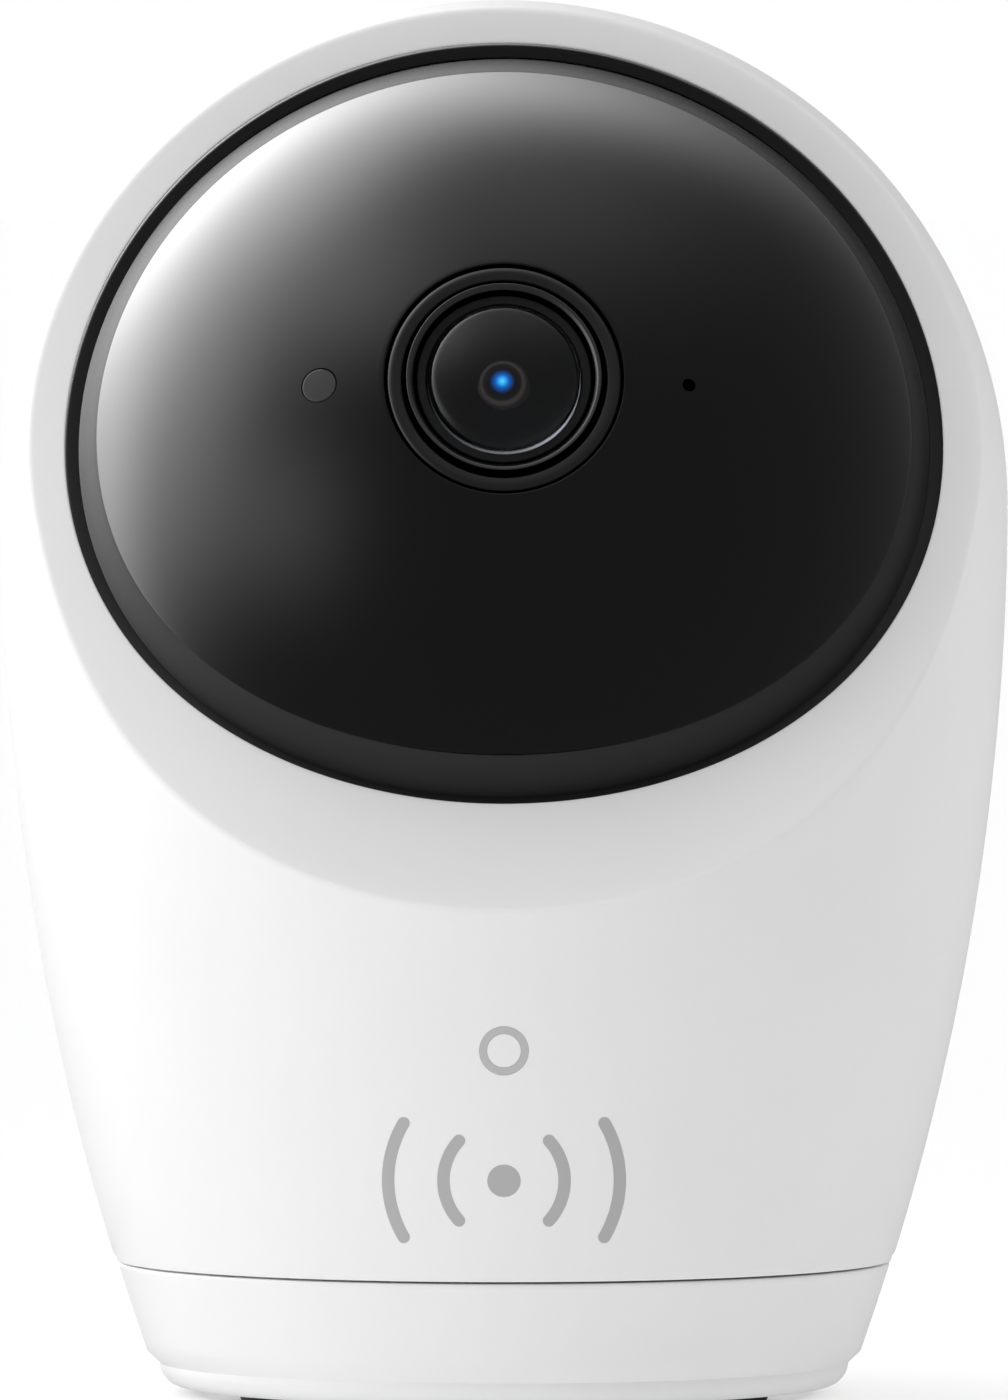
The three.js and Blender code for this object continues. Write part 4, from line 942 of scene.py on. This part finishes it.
class MakeRearCover(bpy.types.Operator):
    """Makes the rear cover with its speaker holes and button hole"""

    bl_idname = "camera_maker.rear_cover"
    bl_label = "Rear cover"

    def execute(self, context):
        body, detail = context.scene.camera_body, context.scene.camera_details
        cover = back_cover(body)
        bored(cover, detail.button_radius + 0.2 * MM, 0.025, 0.05, (0, 0, BUTTON_HEIGHT), 64)
        tree, names = speaker_holes_tree(finish_of("white_plastic"))
        run_tree(cover, tree, names, {
            "Hole radius": detail.hole_radius, "Pitch": detail.hole_pitch, "Height": detail.grille_height,
            "Middle": 0.033, "Depth": 0.016})
        settle(cover, "pan_head", ["rear_cover"], "white_plastic")
        return {"FINISHED"}


class MakeLiner(bpy.types.Operator):
    """Makes the black liner behind the edge of the opening"""

    bl_idname = "camera_maker.liner"
    bl_label = "Opening liner"

    def execute(self, context):
        liner = opening_band(context.scene.camera_body, context.scene.camera_ball)
        settle(liner, "pan_head", ["opening_liner"], "black_plastic")
        liner.visible_glossy = False
        return {"FINISHED"}


class MakeStatusLight(bpy.types.Operator):
    """Makes the status light: a frosted ring round a white core, both flush with the cover"""

    bl_idname = "camera_maker.status_light"
    bl_label = "Status light"

    def execute(self, context):
        body, detail = context.scene.camera_body, context.scene.camera_details
        angles = np.linspace(0, 2 * math.pi, 96, endpoint=False)

        def ring(radius, back=0.0):
            x, z = radius * np.cos(angles), detail.light_height + radius * np.sin(angles)
            points = flush_points(body, x, z, 0.0)
            points[:, 1] += back
            return points

        def pole(back):
            return flush_points(body, np.zeros(1), np.array([detail.light_height]), 0.0)[0] + np.array([0, back, 0])

        thick = 2.0 * MM
        inner, outer = detail.light_inner, detail.light_outer
        rows = [ring(r) for r in np.linspace(inner, outer, 5)] + [ring(outer, thick), ring(inner, thick)]
        guide = mesh_object("light_ring", *joined_rings(rows, closed=True))
        settle(guide, "pan_head", ["status_light_ring"], "light_guide")
        edge = inner - FIT
        rows = [ring(r) for r in np.linspace(edge / 6, edge, 6)] + [ring(edge, thick)]
        core = mesh_object("light_core", *joined_rings(rows, False, pole(0.0), pole(thick)))
        settle(core, "pan_head", ["status_light_core"], "white_trim", "white_plastic")
        return {"FINISHED"}


class MakeMark(bpy.types.Operator):
    """Prints a generic signal sign, a dot between two pairs of waves, under the status light"""

    bl_idname = "camera_maker.mark"
    bl_label = "Printed sign"

    def execute(self, context):
        body, detail = context.scene.camera_body, context.scene.camera_details
        half = detail.mark_stroke / 2
        points, faces = [], []

        def stroke(line, width):
            line = np.array(line)
            first = line[0] - line[1] if len(line) > 1 else np.array([-1.0, 0])
            last = line[-1] - line[-2] if len(line) > 1 else np.array([1.0, 0])
            first, last = first / np.linalg.norm(first), last / np.linalg.norm(last)
            caps = np.cos(np.linspace(0, math.pi / 2, 9))
            centre = [line[0] + first * width * s for s in caps[:-1]] + list(line)
            centre += [line[-1] + last * width * s for s in caps[:-1][::-1]]
            widths = [width * math.sqrt(max(0.0004, 1 - s * s)) for s in caps[:-1]] + [width] * len(line)
            widths += [width * math.sqrt(max(0.0004, 1 - s * s)) for s in caps[:-1][::-1]]
            centre, widths = np.array(centre), np.array(widths)
            way = np.gradient(centre, axis=0)
            way /= np.linalg.norm(way, axis=1)[:, None]
            side = np.stack([-way[:, 1], way[:, 0]], 1) * widths[:, None]
            rows = []
            for i in range(len(centre)):
                edges = np.array([centre[i] + side[i], centre[i], centre[i] - side[i]])
                top = flush_points(body, edges[:, 0], edges[:, 1], 0.012 * MM)
                low = flush_points(body, edges[::-1, 0], edges[::-1, 1], -0.05 * MM)
                rows.append(np.vstack([top, low]))
            made, polygons = joined_rings(rows, False, rows[0].mean(0), rows[-1].mean(0))
            start = sum(len(p) for p in points)
            points.append(made)
            faces.extend([[start + k for k in polygon] for polygon in polygons])

        middle = np.array([0.0, detail.mark_height])
        stroke([middle - [0.02 * MM, 0], middle + [0.02 * MM, 0]], 1.25 * MM)
        for side in (-1, 1):
            for radius, spread in ((4.6 * MM, 42), (8.8 * MM, 30)):
                turns = np.radians(np.linspace(-spread, spread, 33))
                stroke([middle + radius * np.array([side * math.cos(a), math.sin(a)]) for a in turns], half)
        mark = mesh_object("signal_sign", np.vstack(points), faces)
        settle(mark, "pan_head", [], "light_guide", "ink")
        return {"FINISHED"}


class MakeWindow(bpy.types.Operator):
    """Makes the dark window of the camera ball with the holes for the lens, light sensor and microphone"""

    bl_idname = "camera_maker.window"
    bl_label = "Dark window"

    def execute(self, context):
        body, ball = context.scene.camera_body, context.scene.camera_ball
        window = dark_window(ball)
        for x, radius in ((-ball.side_hole, 1.36 * MM), (ball.side_hole, 0.5 * MM)):
            bored(window, radius, -0.04, -0.02, (x, 0, 0))
        moved(window, ball_place(body, ball))
        settle(window, "camera_ball", ["visor"], "gloss_window")
        return {"FINISHED"}


class MakeBallShells(bpy.types.Operator):
    """Makes the two graphite shells of the camera ball, with the pivot holes"""

    bl_idname = "camera_maker.ball_shells"
    bl_label = "Ball shells"

    def execute(self, context):
        body, ball = context.scene.camera_body, context.scene.camera_ball
        place = ball_place(body, ball)
        shell = ball_shell_front(ball)
        across = Matrix.Rotation(math.pi / 2, 4, "Y")
        pin_radius, past = 3.2 * MM, 0.05
        pin = turned("pivot_cutter", [(0, -past), (pin_radius, -past), (pin_radius, past), (0, past)], 48)
        combine(shell, moved(pin, across))
        for x, radius in ((-ball.side_hole, 1.45 * MM), (ball.side_hole, 0.5 * MM)):
            bored(shell, radius, -0.04, -0.005, (x, 0, 0), 40)
        settle(moved(shell, place), "camera_ball", ["ball_front_shell"], "bezel_plastic")
        rear = moved(ball_shell_rear(ball), place)
        settle(rear, "camera_ball", ["ball_rear_shell"], "bezel_plastic")
        return {"FINISHED"}


class MakeLens(bpy.types.Operator):
    """Makes the lens: anodised ring, grey trim ring, front lens, stepped barrel and coated rear lens with a painted
    glowing pupil
    """

    bl_idname = "camera_maker.lens"
    bl_label = "Lens"

    def execute(self, context):
        body, ball, lens = context.scene.camera_body, context.scene.camera_ball, context.scene.camera_lens
        place = ball_place(body, ball)

        def depth(millimetres):
            return millimetres * MM - ball.radius

        def stack(name, outline, node, finish, segments=160):
            piece = moved(turned(name, outline, segments, lens_axis=True), place)
            slot = "black_plastic" if finish == "flat_black" else finish
            settle(piece, "camera_ball", [node], slot, finish)

        outer, inner = lens.ring_outer, lens.ring_inner
        stack("lens_collar", eased([
            (outer, depth(1.14), 0.75 * MM), (inner + 0.1 * MM, depth(1.26), 0.16 * MM),
            (inner, depth(1.7), 0.06 * MM),
            (inner, depth(5.5), 0), (outer, depth(5.5), 0)], 9), "lens_ring", "lens_ring")
        trim_middle = (lens.trim_outer + lens.trim_inner) / 2
        stack("lens_trim", eased([
            (lens.trim_outer, depth(0.7), 0.06 * MM), (trim_middle, depth(0.74), 0.04 * MM),
            (lens.trim_inner, depth(0.95), 0.08 * MM),
            (lens.trim_inner, depth(2.3), 0), (lens.trim_outer, depth(2.3), 0)]), "lens_trim_ring", "lens_trim")
        radius, bulge = lens.glass_radius, lens.glass_bulge
        curve = (radius**2 + bulge**2) / (2 * bulge)
        front = depth(-0.3)
        flat_edge = radius - 0.75 * MM
        dome = [(r, front + curve - math.sqrt(curve**2 - r * r)) for r in np.linspace(0, flat_edge, 26)]
        slope = np.array([1.0, flat_edge / math.sqrt(curve**2 - flat_edge**2)]) * 0.68 * MM
        rim = curve_through(np.array(dome[-1]), np.array(dome[-1]) + slope,
                            np.array([radius, front + bulge + 0.7 * MM]), 12)[1:]
        back = front + bulge + 1.6 * MM
        dome += [tuple(p) for p in rim] + [(r, back) for r in np.linspace(radius, 0, 8)]
        stack("front_glass", dome, "front_lens", "lens_glass")
        barrel_radius, wide, stop = 6.6 * MM, radius + 0.15 * MM, lens.stop_radius
        stop_front, tube_end = depth(2.7), depth(19.5)
        steps = [(barrel_radius, depth(1.4), 0.1 * MM), (wide, depth(1.4), 0.06 * MM), (wide, stop_front, 0),
                 (wide + (stop - wide) * 0.55, stop_front + 0.18 * MM, 0.1 * MM),
                 (wide + (stop - wide) * 0.62, stop_front + 0.3 * MM, 0.1 * MM),
                 (stop, stop_front + 0.5 * MM, 0.05 * MM), (stop, tube_end, 0), (barrel_radius, tube_end, 0)]
        stack("barrel", eased(steps), "lens_barrel", "flat_black")
        small, rise = stop - 0.15 * MM, 0.6 * MM
        curve = (small**2 + rise**2) / (2 * rise)
        front = depth(2.95)
        dome = [(r, front + curve - math.sqrt(curve**2 - r * r)) for r in np.linspace(0, small, 12)]
        back = front + 2.4 * MM
        # rear lens whose pupil glows with painted light
        stack("rear_glass", dome + [(small, back), (0, back)], "rear_lens", "coated_glass", 96)
        return {"FINISHED"}


class MakeSideWindows(bpy.types.Operator):
    """Makes the small window of the light sensor"""

    bl_idname = "camera_maker.side_windows"
    bl_label = "Light sensor window"

    def execute(self, context):
        body, ball = context.scene.camera_body, context.scene.camera_ball
        angles = np.linspace(0, 2 * math.pi, 64, endpoint=False)

        def ring(radius, back):
            x, z = -ball.side_hole + radius * np.cos(angles), radius * np.sin(angles)
            return np.stack([x, -np.sqrt(ball.radius**2 - x**2 - z**2) + back, z], 1)

        def pole(back):
            return [-ball.side_hole, -math.sqrt(ball.radius**2 - ball.side_hole**2) + back, 0]

        sunk = 0.04 * MM
        rows = [ring(r * MM, sunk) for r in (0.3, 0.6, 0.9, 1.15, 1.24)] + [ring(1.3 * MM, sunk + 0.05 * MM)]
        rows += [ring(1.3 * MM, 2.5 * MM)]
        window = mesh_object("sensor_window", *joined_rings(rows, False, pole(sunk), pole(2.5 * MM)))
        moved(window, ball_place(body, ball))
        settle(window, "camera_ball", ["light_sensor_window"], "gloss_window", "sensor_window")
        return {"FINISHED"}


class MakeBase(bpy.types.Operator):
    """Makes the tapered base with its power inlet opening"""

    bl_idname = "camera_maker.base"
    bl_label = "Base"

    def execute(self, context):
        body = context.scene.camera_body
        set_back, wall = 0.15 * MM, 2.2 * MM
        top = body.bottom - body.seam_gap
        low = body.foot_radius - set_back
        plate_radius = plate_high.x
        corner = 1.8 * MM

        def skin(z):
            return float(form_radius(body, z)) - set_back

        outline = [(plate_radius + 0.3 * MM, 0, 0), (low - corner, 0, 0)]
        for a in np.radians(np.linspace(-80, 0, 9)):
            outline.append((low - corner * (1 - math.cos(a)), corner * (1 + math.sin(a)), 0))
        for z in np.linspace(corner, top - 0.5 * MM, 9)[1:]:
            outline.append((skin(z), z, 0))
        lip = plate_radius - 2.1 * MM
        outline += [(skin(top), top, 0.32 * MM), (skin(top) - wall, top, 0.2 * MM),
                    (skin(3.7 * MM) - wall, 3.7 * MM, 0), (lip, 3.7 * MM, 0), (lip, 2.5 * MM, 0),
                    (plate_radius + 0.3 * MM, 2.5 * MM, 0)]
        tub = turned("base_moulding", eased(outline, 5), 256)
        combine(tub, stadium("inlet_cutter", 9.6 * MM, 3.8 * MM, 0.019, 0.04))
        settle(tub, "base", ["base_shell"], "white_plastic")
        return {"FINISHED"}


def stadium_ring(width, height, y, count=20):
    """A rounded slot's outline across Y, at the power inlet."""
    radius = height / 2
    reach = width / 2 - radius
    right = np.linspace(-math.pi / 2, math.pi / 2, count)
    xs = np.concatenate([reach + radius * np.cos(right), -reach - radius * np.cos(right)])
    zs = np.concatenate([radius * np.sin(right), -radius * np.sin(right)])
    return np.stack([xs, np.full(len(xs), y), INLET_HEIGHT + zs], 1)


def stadium(name, width, height, start, end):
    rows = [stadium_ring(width, height, y) for y in (start, end)]
    return mesh_object(name, *joined_rings(rows, False, rows[0].mean(0), rows[1].mean(0)))


class MakeInlet(bpy.types.Operator):
    """Makes the folded steel shell of the power inlet"""

    bl_idname = "camera_maker.inlet"
    bl_label = "Power inlet"

    def execute(self, context):
        front, back = inlet_high.y, inlet_low.y
        skin, ease = 0.4 * MM, 0.1 * MM
        wide, tall = inlet_high.x - inlet_low.x, inlet_high.z - inlet_low.z
        steps = ((0, back), (0, front - ease), (ease, front), (skin - ease, front), (skin, front - ease),
                 (skin, back + skin))
        rows = [stadium_ring(wide - 2 * inset, tall - 2 * inset, y) for inset, y in steps]
        shell = mesh_object("inlet_shell", *joined_rings(rows, False, rows[0].mean(0), rows[-1].mean(0)))
        settle(shell, "base", ["power_inlet"], "steel")
        return {"FINISHED"}


class MakePlate(bpy.types.Operator):
    """Makes the bottom plate with its twist-lock slots, foot seats and screw sinks"""

    bl_idname = "camera_maker.plate"
    bl_label = "Bottom plate"

    def execute(self, context):
        detail = context.scene.camera_details
        radius, top, foot_seat = plate_high.x, plate_high.z, 4.15 * MM
        plate = turned("bottom_plate", eased([(0, 0, 0), (radius, 0, 0.3 * MM), (radius, top, 0.2 * MM),
                                              (0, top, 0)]), 192)
        for name in FOOT_NODES:
            bored(plate, foot_seat, -0.002, 0.8 * MM, seat_of(name), 64, lens_axis=False)
        for name in SCREW_NODES:
            sink = turned("sink", [(0, -0.002), (2.05 * MM, -0.002), (2.05 * MM, 1.25 * MM), (1.05 * MM, 1.25 * MM),
                                   (1.05 * MM, 0.004), (0, 0.004)], 48)
            combine(plate, moved(sink, Matrix.Translation(seat_of(name))))
        tree, names = bracket_slots_tree(finish_of("white_trim"))
        run_tree(plate, tree, names, {"Count": detail.slot_count, "Circle radius": 11 * MM, "Width": 4.4 * MM,
                                      "Entry radius": 3.6 * MM, "Sweep": math.radians(40),
                                      "Start": math.pi / 2, "Depth": 8 * MM})
        settle(plate, "base", ["base_plate"], "white_trim")
        return {"FINISHED"}


class MakeFeet(bpy.types.Operator):
    """Makes the four rubber feet"""

    bl_idname = "camera_maker.feet"
    bl_label = "Rubber feet"

    def execute(self, context):
        radius = context.scene.camera_details.foot_radius
        bottom, top = foot_low.z, foot_high.z
        outline = [(0, bottom + 0.12 * MM, 0), (radius * 0.55, bottom + 0.12 * MM, 0.1 * MM),
                   (radius * 0.6, bottom, 0.08 * MM), (radius, bottom, 0.3 * MM), (radius, top, 0), (0, top, 0)]
        foot = turned("foot_pads", eased(outline), 64)
        tree, names = feet_tree(finish_of("rubber"))
        run_tree(foot, tree, names, {"Width": foot_low.x + foot_high.x, "Length": -(foot_low.y + foot_high.y)})
        settle(foot, "base", FOOT_NODES, "rubber")
        return {"FINISHED"}


class MakeScrews(bpy.types.Operator):
    """Makes the three cross-head screws of the bottom plate"""

    bl_idname = "camera_maker.screws"
    bl_label = "Screws"

    def execute(self, context):
        screws = mesh_object("plate_screws", [seat_of(name, 0.15 * MM) for name in SCREW_NODES], [])
        tree, names = screws_tree(finish_of("steel"))
        run_tree(screws, tree, names, {"Head radius": 1.9 * MM, "Head height": 0.95 * MM,
                                       "Shank radius": 0.9 * MM, "Length": 5.1 * MM})
        settle(screws, "base", SCREW_NODES, "steel")
        return {"FINISHED"}


class MakeButton(bpy.types.Operator):
    """Makes the reset button with its dished face"""

    bl_idname = "camera_maker.button"
    bl_label = "Reset button"

    def execute(self, context):
        radius = context.scene.camera_details.button_radius
        face, back = button_high.y, button_low.y
        outline = [(0, face - 0.25 * MM, 0), (radius * 0.45, face - 0.2 * MM, 0), (radius * 0.8, face, 0.2 * MM),
                   (radius, face, 0.18 * MM), (radius, back + 0.8 * MM, 0), (3.0 * MM, back + 0.8 * MM, 0.1 * MM),
                   (3.0 * MM, back, 0.1 * MM), (0, back, 0)]
        button = turned("button_cap", eased(outline), 64, lens_axis=True)
        moved(button, Matrix.Translation((0, 0, BUTTON_HEIGHT)))
        settle(button, "reset_button", ["reset_button"], "white_trim")
        return {"FINISHED"}


NODE_FINISHES = {
    "black_plastic": ["base_deck", "inlet_tongue", "head_chassis", "speaker", "tilt_yoke"],
    "steel": ["ballast_ring", "gear_retainer", "speaker_magnet", "tilt_pivot_left", "tilt_pivot_right",
              "microphone"],
    "motor_steel": ["pan_motor", "tilt_motor"],
    "acetal": ["pan_glide_ring", "pan_ring_gear", "pan_pinion", "tilt_fixed_gear", "tilt_pinion"],
    "circuit_board": ["power_board", "control_board", "front_board", "sensor_board", "main_board"],
    "chip": ["reset_switch", "image_sensor", "processor_chip"],
    "led_lens": ["infrared_led_left", "infrared_led_right"],
    "light_guide": ["status_led"],
    "copper_flex": ["antenna_strip"],
    "cable": ["centre_cable"],
}


class FinishInnerParts(bpy.types.Operator):
    """Gives every part inside the camera the finish of what it is made from"""

    bl_idname = "camera_maker.inner_parts"
    bl_label = "Inner parts"

    def execute(self, context):
        for slot, nodes in NODE_FINISHES.items():
            for name in nodes:
                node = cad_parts[name]
                node.data.materials.clear()
                node.data.materials.append(finish_of(slot))
        return {"FINISHED"}


# Soft lights all round: degrees to the right of the viewer, degrees up, sharpness and strength.
SOFT_LIGHTS = ((-90, 50, 5, 0.81), (0, 90, 3, 0.8), (135, 12, 5, 0.54), (0, 50, 5, 0.63), (-45, 12, 5, 0.49),
               (90, 12, 5, 0.48))
# What glossy surfaces mirror: soft panels to the left and behind, most of them high up.
MIRRORED_LIGHTS = ((180, 50, 16, 1.83), (-150, 25, 16, 4.87), (-135, 50, 16, 2.51), (-120, 0, 16, 2.71),
                   (-120, 25, 16, 3.17), (-105, 50, 16, 1.96), (-90, 0, 16, 1.37), (-90, 25, 16, 1.88),
                   (-60, 0, 16, 0.88), (-60, 50, 16, 1.14), (0, 90, 6, 0.7))
NEAR_LAMPS = (("left_panel", (-0.2, -0.12, 0.09), 0.097), ("rear_panel", (0.16, 0.12, 0.07), 0.09))


class MakeStage(bpy.types.Operator):
    """Makes the pale floor, the soft light and the camera"""

    bl_idname = "camera_maker.stage"
    bl_label = "Stage"

    def execute(self, context):
        scene = context.scene
        rows = [np.stack([r * np.cos(a), r * np.sin(a), np.full(96, foot_low.z)], 1)
                for a in [np.linspace(0, 2 * math.pi, 96, endpoint=False)] for r in (0.05, 0.4, 2.0, 9.0)]
        floor = mesh_object("floor", *joined_rings(rows, False, [0, 0, foot_low.z]))
        # matt paper, faintly lit from behind so that it fades into the white beyond
        material, tree, shader, place = material_tree("pale_paper")
        fibre = add(tree, "ShaderNodeTexNoise", {"Vector": place, "Scale": 1 / (30 * MM), "Detail": 2.0})
        tone = add(tree, "ShaderNodeMapRange", {0: fibre, 3: 0.88, 4: 0.9})
        join(tree, shader, {"Base Color": tone, "Roughness": 0.9, "Emission Color": (1, 1, 1, 1),
                            "Emission Strength": 0.26})
        floor.data.materials.append(material)
        floor.visible_glossy = False
        if floor.data.polygons[0].normal.z < 0:
            floor.data.flip_normals()

        world = bpy.data.worlds.new("studio")
        scene.world = world
        world.use_nodes = True
        tree = world.node_tree
        tree.nodes.clear()
        way = add(tree, "ShaderNodeTexCoord").outputs["Generated"]

        def soft_lights(places, base):
            total = base
            for side, height, sharpness, strength in places:
                side, height = math.radians(side), math.radians(height)
                toward = (math.sin(side) * math.cos(height), -math.cos(side) * math.cos(height), math.sin(height))
                along = add(tree, "ShaderNodeVectorMath", {0: way, 1: toward}, operation="DOT_PRODUCT")
                facing = add(tree, "ShaderNodeMath", {0: along.outputs["Value"], 1: 0.0}, operation="MAXIMUM")
                glow = add(tree, "ShaderNodeMath", {0: facing, 1: sharpness}, operation="POWER")
                total = add(tree, "ShaderNodeMath", {0: glow, 1: strength, 2: total}, operation="MULTIPLY_ADD")
            return total

        path = add(tree, "ShaderNodeLightPath").outputs
        cast, mirrored = soft_lights(SOFT_LIGHTS, 0.0), soft_lights(MIRRORED_LIGHTS, 0.19)
        seen = add(tree, "ShaderNodeMix", {0: path["Is Glossy Ray"], 2: cast, 3: mirrored}, data_type="FLOAT")
        shown = add(tree, "ShaderNodeMix", {0: path["Is Camera Ray"], 2: seen, 3: 1.0}, data_type="FLOAT")
        light = add(tree, "ShaderNodeBackground", {"Color": (1, 1, 1, 1), "Strength": shown})
        add(tree, "ShaderNodeOutputWorld", {0: light})

        for name, place, power in NEAR_LAMPS:
            panel = bpy.data.lights.new(name, "AREA")
            panel.shape = "RECTANGLE"
            panel.size, panel.size_y, panel.energy = 0.12, 0.12, power
            lamp = bpy.data.objects.new(name, panel)
            scene.collection.objects.link(lamp)
            lamp.location = place
            lamp.rotation_euler = (Vector((0, 0, 0.06)) - lamp.location).to_track_quat("-Z", "Y").to_euler()
            lamp.visible_glossy = lamp.visible_camera = False

        centre_height = scene.camera_body.centre_height
        lift, far = math.radians(1.9), 1.6
        sensor, seen_height = 36, 108.3 * MM
        away = Vector((0, -math.cos(lift), math.sin(lift)))
        above = Vector((0, math.sin(lift), math.cos(lift)))
        middle = Vector((0, 0, centre_height)) - above * 15.16 * MM
        viewer = bpy.data.cameras.new("viewer")
        viewer.sensor_fit = "VERTICAL"
        viewer.sensor_height = viewer.sensor_width = sensor
        viewer.lens = sensor * far / seen_height
        viewer.clip_start, viewer.clip_end = 0.01, 50
        seat = bpy.data.objects.new("viewer", viewer)
        scene.collection.objects.link(seat)
        seat.location = middle + away * far
        seat.rotation_euler = (-away).to_track_quat("-Z", "Y").to_euler()
        scene.camera = seat
        scene.view_settings.view_transform = "Standard"
        return {"FINISHED"}


STEPS = (MakeFrontCover, MakeRearCover, MakeLiner, MakeStatusLight, MakeMark, MakeWindow, MakeBallShells,
         MakeLens, MakeSideWindows, MakeBase, MakeInlet, MakePlate, MakeFeet, MakeScrews, MakeButton,
         FinishInnerParts, MakeStage)


class CameraPanel(bpy.types.Panel):
    """Lists the steps that build the camera"""

    bl_idname = "VIEW3D_PT_camera_maker"
    bl_label = "Security camera"
    bl_space_type = "VIEW_3D"
    bl_region_type = "UI"
    bl_category = "Camera maker"

    def draw(self, context):
        for step in STEPS:
            self.layout.operator(step.bl_idname, text=step.bl_label)


GROUPS = {"camera_body": BodySizes, "camera_ball": BallSizes, "camera_lens": LensSizes,
          "camera_details": DetailSizes, "camera_finishes": Finishes}


def register():
    for group in GROUPS.values():
        bpy.utils.register_class(group)
    for step in STEPS:
        bpy.utils.register_class(step)
    bpy.utils.register_class(CameraPanel)
    for name, group in GROUPS.items():
        setattr(bpy.types.Scene, name, PointerProperty(type=group))


def unregister():
    for name in GROUPS:
        delattr(bpy.types.Scene, name)
    for kind in (CameraPanel, *reversed(STEPS), *reversed(GROUPS.values())):
        bpy.utils.unregister_class(kind)


def main():
    register()
    for step in STEPS:
        group, name = step.bl_idname.split(".")
        getattr(getattr(bpy.ops, group), name)()


if __name__ == "__main__":
    main()
